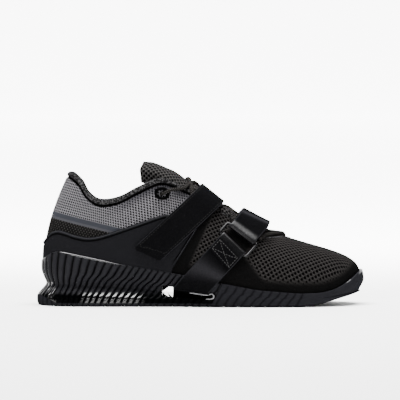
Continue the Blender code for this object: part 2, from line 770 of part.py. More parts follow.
def upper_hull(profile):
    """The upper convex hull of (distance, height) points, without its faintest corners."""
    hull = []
    for p in profile:
        while len(hull) > 1:
            (x1, y1), (x2, y2) = hull[-2:]
            if (x2 - x1) * (p[1] - y1) < (y2 - y1) * (p[0] - x1):
                break
            hull.pop()
        hull.append(p)
    kept = [hull[0]]
    for (x1, y1), (x2, y2) in zip(hull[1:], hull[2:]):
        x0, y0 = kept[-1]
        if y1 - (y0 + (y2 - y0) * (x1 - x0) / (x2 - x0)) > 0.15 * MM:
            kept.append((x1, y1))
    return [*kept, hull[-1]]


def resting_height(tree, x, y, reach):
    """The lowest height at which a ball of radius reach lies on the surface at (x, y)."""
    best = 0.0
    for i in range(-3, 4):
        for j in range(-3, 4):
            dx, dy = i * reach / 3, j * reach / 3
            drop = reach * reach - dx * dx - dy * dy
            if drop < 0:
                continue
            hit, _, _, _ = tree.ray_cast(Vector((x + dx, y + dy, 1)), Vector((0, 0, -1)))
            if hit is not None:
                best = max(best, hit.z + math.sqrt(drop))
    return best


def lace_route(tree, start, end):
    """The lace's line between two points, straight in plan and taut over what lies below."""
    count = 20
    profile = [(0, start.z)]
    for k in range(1, count):
        plan = start.lerp(end, k / count)
        height = resting_height(tree, plan.x, plan.y, LACE_WIDTH / 2 + LIE)
        profile.append((k / count, height))
    profile.append((1, end.z))
    line = []
    for t, height in upper_hull(profile):
        plan = start.lerp(end, t)
        line.append(Vector((plan.x, plan.y, height)))
    return line


def lace_run(name, tree, start, end, skin):
    """One run of lace from eyelet to eyelet; from a top eyelet it lies on the upper first."""
    a, b = lace_place(*start), lace_place(*end)
    if abs(end[0]) < 8:
        side = math.copysign(1, end[0])
        edge = (side * THROAT_EDGE[0], THROAT_EDGE[1])
        on_upper = []
        for k in range(4):
            t = k / 3
            row = edge[0] + (end[0] - edge[0]) * t
            over_eyelet = (EYELET_WIRE + LIE) * ramp(t, 0.3, 0.8)
            on_upper.append(lace_place(row, edge[1] + (end[1] - edge[1]) * t, over_eyelet))
        line = lace_route(tree, a, on_upper[0]) + on_upper[1:]
    else:
        line = lace_route(tree, a, b)
    return tube(name, line, LACE_WIDTH, 5, skin)


def make_laces(tree, skin):
    """The lace: a bar across the foot of the throat, then crossings up to the top eyelets."""
    lateral = LATERAL_EYELETS
    medial = [(-row, g) for row, g in MEDIAL_EYELETS]
    laces = lace_run("laces", tree, lateral[0], medial[0], skin)
    for k in range(len(lateral) - 1):
        for start, end in ((lateral[k], medial[k + 1]), (medial[k], lateral[k + 1])):
            boolean(laces, lace_run("run", tree, start, end, skin), "UNION")
    return laces


def make_eyelet(name, row, g, tree, skin):
    """An oval ring that lies on the upper around the lace's hole."""
    v = upper_share(row, g)
    centre, normal = last_point(row, v), last_normal(row, v)
    along = (last_point(row + 0.2, v) - centre).normalized()
    across = normal.cross(along).normalized()
    radius = EYELET_WIRE / 2
    line = []
    for k in range(10):
        a = 2 * math.pi * k / 10
        outward = along * (1.25 * math.cos(a)) + across * math.sin(a)
        middle = centre + outward * (EYELET_WIDTH / 2 - radius)
        hit, _, _, _ = tree.ray_cast(middle + normal * EYELET_WIDTH, -normal)
        line.append(hit + normal * (radius + LIE))
    return tube(name, line, EYELET_WIRE, 5, skin, closed=True)


# Straps and ring

# Each strap's ridge on the instep as (x, z), its lean from upright, and how far below the ridge
# the rays meet that feel for the surface. The ball strap's ridge follows its lean up from where
# its line meets the ground, so that it always runs through the sole's slot.
INSTEP_RIDGE = (0.412 * SHOE_LENGTH, 0.842 * COLLAR_HEIGHT)
INSTEP_LEAN = math.radians(47.6)
INSTEP_DEPTH = 35 * MM
BALL_FOOT = 0.2970686 * SHOE_LENGTH
BALL_LEAN = math.radians(42.5)
BALL_RISE = 0.655 * COLLAR_HEIGHT
BALL_RIDGE = (BALL_FOOT + BALL_RISE * math.tan(BALL_LEAN), BALL_RISE)
BALL_DEPTH = 32 * MM

LAYER = LIE + STRAP_THICKNESS / 2
SECOND_LAYER = LAYER + STRAP_THICKNESS + 2 * TOUCH
BAR_HEIGHT = LAYER + STRAP_THICKNESS / 2 + TOUCH + RING_WIRE / 2
WRAP = RING_WIRE / 2 + TOUCH + STRAP_THICKNESS / 2
FEELERS = 17


class StrapPath:
    """The taut line of a strap round the shoe, in planes that lean back with the instep.

    ridge is a point (x, z) on the instep and lean the strap's angle from upright; depth says
    how far below the ridge the rays meet that feel for the surface. phi is the angle round
    from the ridge, positive to the lateral side, and w runs across the strap from -1 to 1.
    stop(x) is the height that the strap doesn't pass on its way down either side.
    """

    def __init__(self, tree, ridge, lean, depth, width, stop):
        self.up = Vector((math.sin(lean), 0, math.cos(lean)))
        self.across = Vector((math.cos(lean), 0, -math.sin(lean)))
        self.centre = Vector((ridge[0], 0, ridge[1])) - self.up * depth
        self.half = width / 2
        self.stop = stop
        self.angles = np.radians(np.arange(-159, 160, 3.0))
        shares = np.linspace(-1, 1, FEELERS)
        radii = [self.feel(tree, w) for w in shares]
        lift = np.zeros(len(self.angles))
        for w, line in zip(shares, radii):
            straight = radii[0] + (radii[-1] - radii[0]) * (w + 1) / 2
            lift = np.maximum(lift, line - straight)
        self.low = self.taut(radii[0] + lift)
        self.high = self.taut(radii[-1] + lift)

    def direction(self, phi):
        return self.up * math.cos(phi) + Vector((0, -1, 0)) * math.sin(phi)

    def feel(self, tree, w):
        """Distances of the surface round one plane, held level past the stop on each side."""
        start = self.centre + self.across * self.half * w
        middle = len(self.angles) // 2
        radii = np.zeros(len(self.angles))
        for side in (1, -1):
            i, reach, past = middle, 0.0, False
            while 0 <= i < len(self.angles):
                ray = self.direction(self.angles[i])
                hit, _, _, _ = tree.ray_cast(start + ray * 0.2, -ray)
                past = past or hit is None or hit.z < self.stop(hit.x)
                reach = reach if past else (hit - start).length
                radii[i] = reach
                i += side
        return radii

    def taut(self, radii):
        """The radii of the convex line round the given ones."""
        hull = []
        for phi, radius in zip(self.angles, radii):
            p = (radius * math.sin(phi), radius * math.cos(phi))
            while len(hull) > 1:
                (x1, y1), (x2, y2) = hull[-2:]
                if (x2 - x1) * (p[1] - y1) - (y2 - y1) * (p[0] - x1) < 0:
                    break
                hull.pop()
            hull.append(p)
        turns = [math.atan2(x, y) for x, y in hull]
        found = []
        for phi in self.angles:
            i = min(max(int(np.searchsorted(turns, phi)), 1), len(hull) - 1)
            (x1, y1), (x2, y2) = hull[i - 1], hull[i]
            bottom = (x2 - x1) * math.cos(phi) - (y2 - y1) * math.sin(phi)
            found.append(abs((x2 * y1 - x1 * y2) / bottom))
        return np.array(found)

    def base(self, phi, w):
        """The strap line's point on the surface."""
        low = float(np.interp(phi, self.angles, self.low))
        high = float(np.interp(phi, self.angles, self.high))
        radius = low + (high - low) * (w + 1) / 2
        return self.centre + self.across * self.half * w + self.direction(phi) * radius

    def point(self, phi, w, height, ahead=0.0):
        """A point off the surface by height, and moved ahead toward the lateral side."""
        step = math.radians(3)
        along = (self.base(phi + step, w) - self.base(phi - step, w)).normalized()
        off = self.across.cross(along).normalized()
        if off.dot(self.direction(phi)) < 0:
            off = -off
        return self.base(phi, w) + off * height + along * ahead

    def walk(self, phi, distance):
        """The angle reached after a distance along the strap's middle."""
        step = math.radians(0.5 if distance > 0 else -0.5)
        left = abs(distance)
        here = self.base(phi, 0)
        while left > 0:
            there = self.base(phi + step, 0)
            left -= (there - here).length
            here, phi = there, phi + step
        return phi

    def stop_angle(self, w, side, above):
        """The angle where the strap's line comes down to the stop height plus above."""
        phi = side * math.radians(60)
        while abs(phi) < self.angles[-1]:
            p = self.point(phi, w, LAYER)
            if p.z < self.stop(p.x) + above:
                break
            phi += side * math.radians(0.5)
        return phi


def ribbon(name, grid, thickness, skin):
    """A strap of even thickness about a grid of points, a row for each station along it."""
    half = thickness / 2
    rings = []
    for i, row in enumerate(grid):
        before, after = grid[max(i - 1, 0)], grid[min(i + 1, len(grid) - 1)]
        top, bottom = [], []
        for j, point in enumerate(row):
            across = row[min(j + 1, len(row) - 1)] - row[max(j - 1, 0)]
            normal = (after[j] - before[j]).cross(across).normalized()
            top.append(point + normal * half)
            bottom.append(point - normal * half)
        rings.append([*top, *reversed(bottom)])
    bm = bmesh.new()
    rows = vertex_rows(bm, rings)
    bridge_rows(bm, rows, closed=True)
    for row in (rows[0], rows[-1]):
        for j in range(len(row) // 2 - 1):
            bm.faces.new([row[j], row[j + 1], row[-2 - j], row[-1 - j]])
    return new_object(name, bm, skin, smooth_angle=50)


def make_instep_strap(tree, skin):
    """The instep strap: from the medial seam over the laces to its free end on the cage."""
    path = StrapPath(
        tree,
        INSTEP_RIDGE,
        INSTEP_LEAN,
        INSTEP_DEPTH,
        INSTEP_STRAP_WIDTH,
        lambda x: rim_height(x) + 1.2 * MM,
    )
    end_phi = path.walk(math.radians(90), STRAP_REACH)
    shares = (-1.0, -0.8, 0.8, 1.0)
    trims = (4 * MM, 0.0, 9 * MM, 13 * MM)
    starts = [path.stop_angle(w, -1, STRAP_THICKNESS) for w in shares]
    ends = [path.walk(end_phi, -trim) if trim else end_phi for trim in trims]
    shared = bends(path, max(starts), min(ends))
    grid = []
    for k in range(3):
        row = []
        for w, start in zip(shares, starts):
            row.append(path.point(start + (shared[0] - start) * k / 3, w, LAYER))
        grid.append(row)
    for phi in shared:
        grid.append([path.point(phi, w, LAYER) for w in shares])
    for k in (1, 2, 3):
        row = []
        for w, end in zip(shares, ends):
            row.append(path.point(shared[-1] + (end - shared[-1]) * k / 3, w, LAYER))
        grid.append(row)
    return ribbon("instep_strap", grid, STRAP_THICKNESS, skin)


def slot_heights(x):
    """The floor and the ceiling of the sole's slot at x."""
    outline = slot_outline()
    share = (x - outline[0][0]) / (outline[1][0] - outline[0][0])
    low = outline[0][1] + (outline[1][1] - outline[0][1]) * share
    high = outline[-1][1] + (outline[-2][1] - outline[-1][1]) * share
    return low, high


def slot_ceiling(x):
    return slot_heights(x)[1]


def rim_angle(path, w, side):
    """The angle where the strap's line passes the sole's rim."""
    phi = side * math.radians(60)
    while abs(phi) < path.angles[-1]:
        p = path.base(phi, w)
        if p.z < rim_height(p.x):
            break
        phi += side * math.radians(0.5)
    return phi


def slot_tail(path, w, side):
    """The strap's line from inside the slot, round its upper edge, to where its path starts."""
    phi = path.stop_angle(w, side, 1.0 * MM)
    entry = path.point(phi, w, LAYER)
    top = slot_ceiling(entry.x)
    radius = LIE + STRAP_THICKNESS / 2
    outward = Vector((0, -side, 0))
    corner = Vector((entry.x, entry.y, top)) - outward * radius
    tail = []
    for y in (1.5 * MM, abs(corner.y) / 2):
        tail.append(Vector((entry.x, -side * y, top - radius)))
    for turn in (0, 30, 60, 90):
        a = math.radians(turn)
        tail.append(corner + outward * radius * math.sin(a) - Vector((0, 0, radius * math.cos(a))))
    return phi, tail


def ball_strap_path(tree):
    return StrapPath(tree, BALL_RIDGE, BALL_LEAN, BALL_DEPTH, BALL_STRAP_WIDTH, slot_ceiling)


def bar_angles(path):
    """The angles of the ring's two bars on the strap's line."""
    upper = path.walk(0, RING_DISTANCE)
    return upper, path.walk(upper, RING_INSIDE + RING_WIRE)


def wrap_points(path, phi, w, side):
    """Half a turn of strap about a bar, on its side that faces the other bar."""
    points = []
    for turn in (-90, -50, 0, 50, 90):
        a = math.radians(turn)
        ahead = -side * WRAP * math.cos(a)
        points.append(path.point(phi, w, BAR_HEIGHT + WRAP * math.sin(a), ahead))
    return points


def bends(path, start, end):
    """The angles between two limits where the strap bends, and enough others between."""
    low, high = min(start, end), max(start, end)
    found = []
    for before, phi, after in zip(path.angles, path.angles[1:], path.angles[2:]):
        if not low < phi < high:
            continue
        turn = 0.0
        for w in (-1, 1):
            here = path.base(phi, w)
            turn = max(turn, (here - path.base(before, w)).angle(path.base(after, w) - here))
        if turn > math.radians(4) or not found or phi - found[-1] > math.radians(11.5):
            found.append(float(phi))
    return found if start < end else found[::-1]


def strap_column(path, w, side, bar, back):
    """The strap's line at w: out of the slot, up to a bar, round it and back over itself."""
    start, column = slot_tail(path, w, side)
    turn = side * max(math.radians(66), side * bar + math.radians(15))
    corner = rim_angle(path, w, side)
    fold = side * math.radians(1.5)
    for phi in ((start + corner) / 2, corner + fold, corner - fold):
        column.append(path.point(phi, w, LAYER))
    for share in (0.2, 0.4, 0.6, 0.8, 1.0):
        column.append(path.point(corner + (turn - corner) * share, w, LAYER))
    near = bar + side * math.radians(4)
    column += [path.point(phi, w, LAYER) for phi in bends(path, turn, near)]
    column += wrap_points(path, bar, w, side)
    top = BAR_HEIGHT + WRAP
    settled = path.walk(bar, side * 11 * MM)
    for share, height in ((0.4, 0.75), (0.75, 0.25)):
        phi = bar + (settled - bar) * share
        column.append(path.point(phi, w, SECOND_LAYER + (top - SECOND_LAYER) * height))
    end = path.walk(bar, side * back)
    column += [path.point(phi, w, SECOND_LAYER) for phi in bends(path, settled, end)]
    column.append(path.point(end, w, SECOND_LAYER))
    return column


def make_anchor(path, skin):
    """The lateral anchor: out of the slot, up to the ring's lower bar, and stitched back."""
    _, lower = bar_angles(path)
    columns = [strap_column(path, w, 1, lower, STRAP_TAB) for w in (-1, 1)]
    return ribbon("strap_anchor", list(zip(*columns)), STRAP_THICKNESS, skin)


def make_ball_strap(path, skin):
    """The ball strap: up the medial side, through the ring and back to its free end."""
    upper, _ = bar_angles(path)
    back = RING_DISTANCE + STRAP_RETURN
    columns = [strap_column(path, w, -1, upper, back) for w in (-1, 1)]
    return ribbon("ball_strap", list(zip(*columns)), STRAP_THICKNESS, skin)


def make_ring(path, skin):
    """The wire ring: two bars under the straps, joined past their edges by round corners."""
    upper, lower = bar_angles(path)
    reach = 1 + (RING_WIRE / 2 + RING_SPARE) / path.half
    corners = [(upper, -reach), (lower, -reach), (lower, reach), (upper, reach)]
    places = [path.point(phi, w, BAR_HEIGHT) for phi, w in corners]
    line = []
    for i, corner in enumerate(places):
        before = (places[i - 1] - corner).normalized()
        after = (places[(i + 1) % 4] - corner).normalized()
        for k in range(3):
            t = k / 2
            start, end = corner + before * RING_BEND, corner + after * RING_BEND
            line.append(start * (1 - t) ** 2 + corner * 2 * t * (1 - t) + end * t * t)
    return tube("ring", line, RING_WIRE, 7, skin, closed=True)


def main():
    for obj in list(bpy.data.objects):
        bpy.data.objects.remove(obj)
    rubber = material("rubber", (0.035, 0.035, 0.038), 0.55)
    gloss = material("gloss_heel", (0.02, 0.02, 0.023), 0.12)
    knit = material("knit", (0.045, 0.043, 0.042), 0.85)
    shell = material("cage_film", (0.028, 0.028, 0.031), 0.45)
    foam = material("insole_cloth", (0.03, 0.03, 0.032), 0.9)
    webbing = material("strap_leather", (0.02, 0.02, 0.021), 0.4)
    cord = material("lace_cord", (0.05, 0.046, 0.044), 0.8)
    wire = material("ring_wire", (0.02, 0.02, 0.022), 0.15, 1.0)

    outsole, block = make_sole(rubber, gloss)
    upper = make_upper(knit)
    cage = make_cage(shell)
    tongue = make_tongue(knit)
    make_insole(foam)
    upper_tree = surface_tree([upper])
    laces = make_laces(surface_tree([upper, tongue]), cord)
    row, g = LATERAL_EYELETS[-1]
    lateral_eyelet = make_eyelet("eyelet_lateral", row, g, upper_tree, cord)
    row, g = MEDIAL_EYELETS[-1]
    medial_eyelet = make_eyelet("eyelet_medial", -row, g, upper_tree, cord)
    pieces = [upper, cage, tongue, laces, lateral_eyelet, medial_eyelet]
    make_instep_strap(surface_tree(pieces), webbing)
    path = ball_strap_path(surface_tree([*pieces, outsole, block]))
    make_anchor(path, webbing)
    make_ball_strap(path, webbing)
    make_ring(path, wire)


main()
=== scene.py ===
"""The looks of a strapped weightlifting shoe for the right foot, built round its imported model.

The toe points along +X, the medial side lies at +Y, +Z is up, and the origin is on the floor under
the heel. Sizes are in metres. The skins repeat the model's own form at a finer grain.
"""

import math

import bpy
import numpy as np
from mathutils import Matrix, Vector
from mathutils.bvhtree import BVHTree


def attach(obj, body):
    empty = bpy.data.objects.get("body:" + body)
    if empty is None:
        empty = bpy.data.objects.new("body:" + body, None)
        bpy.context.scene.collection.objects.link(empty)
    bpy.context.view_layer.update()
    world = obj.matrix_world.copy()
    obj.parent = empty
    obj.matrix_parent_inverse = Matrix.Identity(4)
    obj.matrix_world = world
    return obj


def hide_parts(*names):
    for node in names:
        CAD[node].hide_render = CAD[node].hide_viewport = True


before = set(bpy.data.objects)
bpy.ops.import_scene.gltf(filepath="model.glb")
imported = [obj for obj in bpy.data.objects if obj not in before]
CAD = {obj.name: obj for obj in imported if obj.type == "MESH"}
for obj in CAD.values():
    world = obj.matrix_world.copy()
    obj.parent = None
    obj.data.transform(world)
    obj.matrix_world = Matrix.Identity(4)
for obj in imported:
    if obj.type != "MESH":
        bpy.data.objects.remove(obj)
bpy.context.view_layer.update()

MM = 0.001
UP = Vector((0, 0, 1))

# Driving sizes of the last and the upper
SHOE_LENGTH = 296 * MM
BALL_WIDTH = 100 * MM
HEEL_WIDTH = 70 * MM
COLLAR_HEIGHT = 120.3 * MM
UPPER_WALL = 2.2 * MM
COLLAR_PAD = 3.6 * MM

# Driving sizes of the sole
HEEL_LIFT = 30.5 * MM
RIM_HEIGHT = 48.7 * MM
RIM_WALL = 2.4 * MM
RUBBER_PLATE = 3.1 * MM
TOE_SPRING = 10.2 * MM
RIB_PITCH = 5.6 * MM
RIB_DEPTH = 0.9 * MM
RIB_SWEEP = 25 * MM
NOTCH_PITCH = 8 * MM
NOTCH_DEPTH = 0.5 * MM
NOTCH_SWEEP = 12 * MM
TREAD_PITCH = 15.1 * MM
BALL_TREAD_PITCH = 12.4 * MM
TREAD_WIDTH = 1.8 * MM
TREAD_DEPTH = 1.3 * MM

# Driving sizes of the pieces on and in the upper
CAGE_WALL = 1.3 * MM
CAGE_HEIGHT = 68.4 * MM
TONGUE_WALL = 4.0 * MM
TONGUE_CROWN = 7.0 * MM
TONGUE_REACH = 22 * MM
TONGUE_SINK = 14 * MM
INSOLE_THICKNESS = 4.0 * MM
STRAP_THICKNESS = 1.7 * MM
INSTEP_STRAP_WIDTH = 25 * MM
BALL_STRAP_WIDTH = 26.5 * MM
STRAP_TAB = 17 * MM
STRAP_RETURN = 48 * MM
STRAP_REACH = 51 * MM
RING_DISTANCE = 41 * MM
RING_WIRE = 2.4 * MM
RING_INSIDE = 12 * MM
RING_SPARE = 1.6 * MM
RING_BEND = 2.6 * MM
LACE_WIDTH = 3.2 * MM
EYELET_WIDTH = 10 * MM
EYELET_WIRE = 2.2 * MM

# Pitches of the cloths: rows of knit, holes of quarter, vamp and tongue, and the lace's braid
KNIT_ROW = 2.3 * MM
PIN_PITCH = 2.45 * MM
HOLE_PITCH = 4.8 * MM
TONGUE_HOLE_PITCH = 4.4 * MM
BRAID_PERIOD = 2.3 * MM

# Clearances
TOUCH = 0.3 * MM
FIT = 0.45 * MM
LIE = 0.5 * MM

# The last, a row for each column from foot edge to opening: heel back, lateral side, toe tip,
# medial side. foot_x and top_x are shares of SHOE_LENGTH ahead of the heel centre, foot_y and
# top_y shares of half the local width, and top_z is a share of COLLAR_HEIGHT. The lower handle
# of the column's curve leans out by flare half widths at rise of its height, and the upper
# handle lies out by spread of the way to the foot edge and down by drop of the height.
LAST_COLUMNS = [
    # foot_x, foot_y, top_x, top_y, top_z, flare, rise, spread, drop
    (-0.101, 0.000, -0.030, 0.000, 1.008, 0.12, 0.33, 0.60, 0.30),
    (-0.090, -0.480, -0.019, -0.330, 1.000, 0.10, 0.33, 0.54, 0.30),
    (-0.055, -0.810, 0.005, -0.570, 0.950, 0.09, 0.33, 0.38, 0.32),
    (0.000, -0.970, 0.027, -0.740, 0.862, 0.09, 0.33, 0.24, 0.34),
    (0.064, -1.010, 0.064, -0.860, 0.803, 0.09, 0.35, 0.15, 0.36),
    (0.135, -1.000, 0.122, -0.910, 0.820, 0.07, 0.36, 0.15, 0.36),
    (0.203, -1.000, 0.186, -0.850, 0.898, 0.05, 0.38, 0.30, 0.36),
    (0.267, -0.995, 0.253, -0.690, 0.962, 0.04, 0.40, 0.48, 0.36),
    (0.331, -0.980, 0.307, -0.524, 0.912, 0.04, 0.42, 0.58, 0.36),
    (0.399, -0.985, 0.372, -0.440, 0.825, 0.05, 0.42, 0.60, 0.34),
    (0.473, -0.980, 0.439, -0.400, 0.712, 0.06, 0.42, 0.62, 0.30),
    (0.547, -1.010, 0.500, -0.440, 0.610, 0.06, 0.42, 0.62, 0.26),
    (0.622, -1.000, 0.547, -0.470, 0.534, 0.06, 0.45, 0.62, 0.22),
    (0.696, -0.910, 0.578, -0.380, 0.520, 0.07, 0.48, 0.64, 0.22),
    (0.764, -0.740, 0.605, -0.220, 0.522, 0.12, 0.52, 0.68, 0.24),
    (0.820, -0.440, 0.625, -0.050, 0.522, 0.23, 0.61, 0.73, 0.28),
    (0.848, 0.040, 0.638, 0.100, 0.514, 0.30, 0.65, 0.75, 0.31),
    (0.836, 0.480, 0.643, 0.230, 0.508, 0.25, 0.64, 0.74, 0.30),
    (0.787, 0.760, 0.630, 0.320, 0.512, 0.13, 0.54, 0.70, 0.26),
    (0.713, 0.920, 0.595, 0.340, 0.540, 0.08, 0.50, 0.66, 0.24),
    (0.632, 0.970, 0.551, 0.330, 0.558, 0.06, 0.46, 0.64, 0.24),
    (0.551, 0.940, 0.500, 0.320, 0.608, 0.06, 0.44, 0.62, 0.27),
    (0.473, 0.850, 0.439, 0.330, 0.700, 0.06, 0.42, 0.60, 0.31),
    (0.399, 0.790, 0.372, 0.366, 0.815, 0.05, 0.42, 0.58, 0.34),
    (0.331, 0.775, 0.307, 0.473, 0.910, 0.04, 0.42, 0.54, 0.36),
    (0.267, 0.805, 0.253, 0.665, 0.942, 0.05, 0.40, 0.46, 0.36),
    (0.203, 0.860, 0.186, 0.829, 0.880, 0.06, 0.38, 0.28, 0.36),
    (0.135, 0.915, 0.122, 0.886, 0.803, 0.07, 0.36, 0.15, 0.36),
    (0.064, 0.960, 0.064, 0.843, 0.787, 0.09, 0.35, 0.15, 0.36),
    (0.000, 0.950, 0.027, 0.729, 0.848, 0.09, 0.33, 0.24, 0.34),
    (-0.055, 0.810, 0.005, 0.570, 0.940, 0.09, 0.33, 0.38, 0.32),
    (-0.090, 0.480, -0.019, 0.330, 0.998, 0.10, 0.33, 0.54, 0.30),
]
LAST = np.array(LAST_COLUMNS)
ROUND = len(LAST_COLUMNS)
TOE_ROW = ROUND // 2

# Heights along the shoe: share of SHOE_LENGTH ahead of the heel centre, share of the size named
RIM_LINE = [
    (-0.105, 0.765), (-0.090, 0.900), (-0.067, 1.000), (-0.034, 0.975), (0.064, 0.855),
    (0.126, 0.766), (0.320, 0.565), (0.430, 0.429), (0.544, 0.298), (0.669, 0.232),
    (0.736, 0.236), (0.775, 0.292), (0.800, 0.374), (0.822, 0.480), (0.850, 0.660),
]
FOOTBED_LINE = [
    (-0.105, 1.000), (0.064, 0.955), (0.203, 0.803), (0.318, 0.630), (0.430, 0.480),
    (0.544, 0.325), (0.669, 0.268), (0.740, 0.275), (0.795, 0.335), (0.850, 0.430),
]
CAGE_LINE = [
    (-0.118, 0.730), (-0.108, 0.770), (-0.088, 0.925), (-0.066, 1.000), (-0.043, 0.987),
    (-0.010, 0.933), (0.029, 0.899), (0.067, 0.921), (0.105, 0.977), (0.157, 1.053),
    (0.218, 1.143), (0.272, 1.219), (0.364, 1.023), (0.420, 0.900),
]
CAGE_FRONT = [(0.262, 0.100), (0.289, 0.504), (0.364, 1.023), (0.420, 1.410)]

# The side of the sole from floor to footbed, and above it to the rim: outward distance from the
# last's foot edge at the heel, the ball and the toe, in shares of SOLE_LEDGE
SOLE_LEDGE = 7.3 * MM
SOLE_SIDE = [
    # level, heel, ball, toe, rib
    (0.00, 0.86, 0.08, -0.38, 0.00),
    (0.12, 1.00, 0.26, -0.08, 0.60),
    (0.30, 0.92, 0.38, 0.20, 1.00),
    (0.46, 0.38, 0.43, 0.36, 1.00),
    (0.63, -0.16, 0.45, 0.47, 1.00),
    (0.82, 0.12, 0.45, 0.55, 1.00),
]
HALF_RIM_RIB = 0.8
TOE_BULGE = 1.2 * MM


# The last's form, for arrays of rows u and shares v


def ramp(x, start, end):
    """0 before start, 1 after end, and a smooth rise between them."""
    t = np.clip((x - start) / (end - start), 0, 1)
    return t * t * (3 - 2 * t)


def bell(x, centre, width):
    """1 at the centre, falling smoothly to 0 about a width away."""
    return np.exp(-(((x - centre) / width) ** 2) * 2.5)


def cubic(a, b, c, d, f):
    """The smooth curve through four rows, at share f of the way from b to c."""
    return b + 0.5 * f * (c - a + f * (2 * a - 5 * b + 4 * c - d + f * (3 * (b - c) + d - a)))


def run_along(points):
    """The distance along a line up to each of its points."""
    return np.concatenate([[0], np.cumsum(np.linalg.norm(np.diff(points, axis=0), axis=1))])


def points_at(points, run, at):
    """The points of a line at distances at, where run holds the distance of each of its own."""
    return np.stack([np.interp(at, run, points[:, k]) for k in range(3)], axis=-1)


def round_corners(rows, times):
    """Draws each inner row of an array toward the middle of its two neighbours."""
    for _ in range(times):
        rows[1:-1] = rows[1:-1] * 0.5 + (rows[:-2] + rows[2:]) * 0.25


def line_height(table, size, x):
    """The height of a line along the shoe, read from its table of shares."""
    shares = np.array(table)
    return np.interp(x / SHOE_LENGTH, shares[:, 0], shares[:, 1]) * size


def smooth_line(table, size, x, reach=4 * MM):
    steps = (-1.0, -0.5, 0.0, 0.5, 1.0)
    return sum(line_height(table, size, x + reach * k) for k in steps) / len(steps)


def rim_height(x):
    return smooth_line(RIM_LINE, RIM_HEIGHT, x)


def footbed_height(x):
    return smooth_line(FOOTBED_LINE, HEEL_LIFT, x)


def floor_height(x):
    """The underside: flat under heel and ball, then rising to the toe."""
    start, end, blend = 0.703 * SHOE_LENGTH, 0.850 * SHOE_LENGTH, 10 * MM
    slope = TOE_SPRING / (end - start)
    ahead = x - start
    eased = slope * np.clip(ahead + blend, 0, 2 * blend) ** 2 / (4 * blend)
    return np.where(ahead < blend, eased, slope * ahead)


def half_width(x):
    share = ramp(x, 0.20 * SHOE_LENGTH, 0.507 * SHOE_LENGTH)
    return (HEEL_WIDTH + (BALL_WIDTH - HEEL_WIDTH) * share) / 2


def column_values(u):
    """The last's table at rows u, by a closed cubic through its rows."""
    i = np.floor(u).astype(int)
    f = (u - i)[:, None]
    return cubic(*(LAST[(i + k) % ROUND] for k in (-1, 0, 1, 2)), f)


def stacked(*parts):
    return np.stack(np.broadcast_arrays(*parts), axis=-1)


def foot_edge(u):
    values = column_values(u)
    x = values[:, 0] * SHOE_LENGTH
    return stacked(x, values[:, 1] * half_width(x))


def unit(vectors):
    return vectors / np.linalg.norm(vectors, axis=-1, keepdims=True)


def grid_normals(grid):
    """The normals of a surface at the points of its grid."""
    return unit(np.cross(np.gradient(grid, axis=0), np.gradient(grid, axis=1)))


def foot_outward(u):
    along = foot_edge(u + 0.05) - foot_edge(u - 0.05)
    return unit(stacked(along[:, 1], -along[:, 0]))


def collar_share(u):
    """1 along the padded collar and 0 along the throat and toe."""
    from_heel = np.minimum(u % ROUND, ROUND - u % ROUND)
    return 1 - ramp(from_heel, 7.0, 9.2)


def last_point(u, v):
    """The upper's outer form: v is 0 at the foot edge and 1 at the opening."""
    values, edge, out = column_values(u), foot_edge(u), foot_outward(u)
    width = half_width(edge[:, 0])
    foot = stacked(edge[:, 0], edge[:, 1], footbed_height(edge[:, 0]) + TOUCH)
    top_x = values[:, 2] * SHOE_LENGTH
    crest = (UPPER_WALL + COLLAR_PAD * collar_share(u)) * 0.42
    top = stacked(top_x, values[:, 3] * half_width(top_x), values[:, 4] * COLLAR_HEIGHT - crest)
    rise = top[:, 2] - foot[:, 2]
    flare, low_share, spread, drop = values[:, 5:9].T
    low = foot + stacked(*(out.T * flare * width), low_share * rise)
    side = foot - top
    high = top + stacked(spread * side[:, 0], spread * side[:, 1], -drop * rise)
    v = np.asarray(v)[:, None]
    w = 1 - v
    return foot * w**3 + low * (3 * w * w * v) + high * (3 * w * v * v) + top * v**3


def last_normal(u, v):
    along = last_point(u + 0.04, v) - last_point(u - 0.04, v)
    up = last_point(u, np.minimum(v + 0.01, 1)) - last_point(u, np.maximum(v - 0.01, 0))
    return unit(np.cross(along, up))


def outer_point(u, v, outward=0.0):
    return last_point(u, v) + last_normal(u, v) * np.reshape(outward, (-1, 1))


def share_at(u, reached):
    """The first v up each column where reached(points) turns true."""
    low, high = np.zeros(len(u)), np.ones(len(u))
    for _ in range(22):
        middle = (low + high) / 2
        hit = reached(last_point(u, middle))
        high = np.where(hit, middle, high)
        low = np.where(hit, low, middle)
    return high


def rim_share(u, part=1.0):
    """The v where each column passes the sole's rim, or part of the way up to it."""
    x = foot_edge(u)[:, 0]
    level = footbed_height(x) + TOUCH + part * (rim_height(x) - footbed_height(x) - TOUCH)
    return share_at(u, lambda p: p[:, 2] > level)


def upper_share(u, g):
    """v at share g of the way from the sole's rim to the opening."""
    rows, place = np.unique(np.round(u, 6), return_inverse=True)
    rim = rim_share(rows)[place]
    return rim + (1 - rim) * g


def wall_thickness(u, g):
    return UPPER_WALL + COLLAR_PAD * collar_share(u) * ramp(g, 0.35, 0.75)


def side_lengths(side):
    """Rows from heel back to toe tip, and the foot edge's length up to each."""
    rows = np.linspace(0, TOE_ROW, 600)
    return rows, run_along(foot_edge(side * rows))


def smooth_rows(keys, steps):
    """A smooth curve through key rows, an array (row, point, xyz), with steps between rows."""
    last = len(keys) - 1
    found = []
    for q in np.linspace(0, last, last * steps + 1):
        i = min(int(q), last - 1)
        near = (keys[min(max(i + k, 0), last)] for k in (-1, 0, 1, 2))
        found.append(cubic(*near, q - i))
    return np.array(found)


# Making pieces


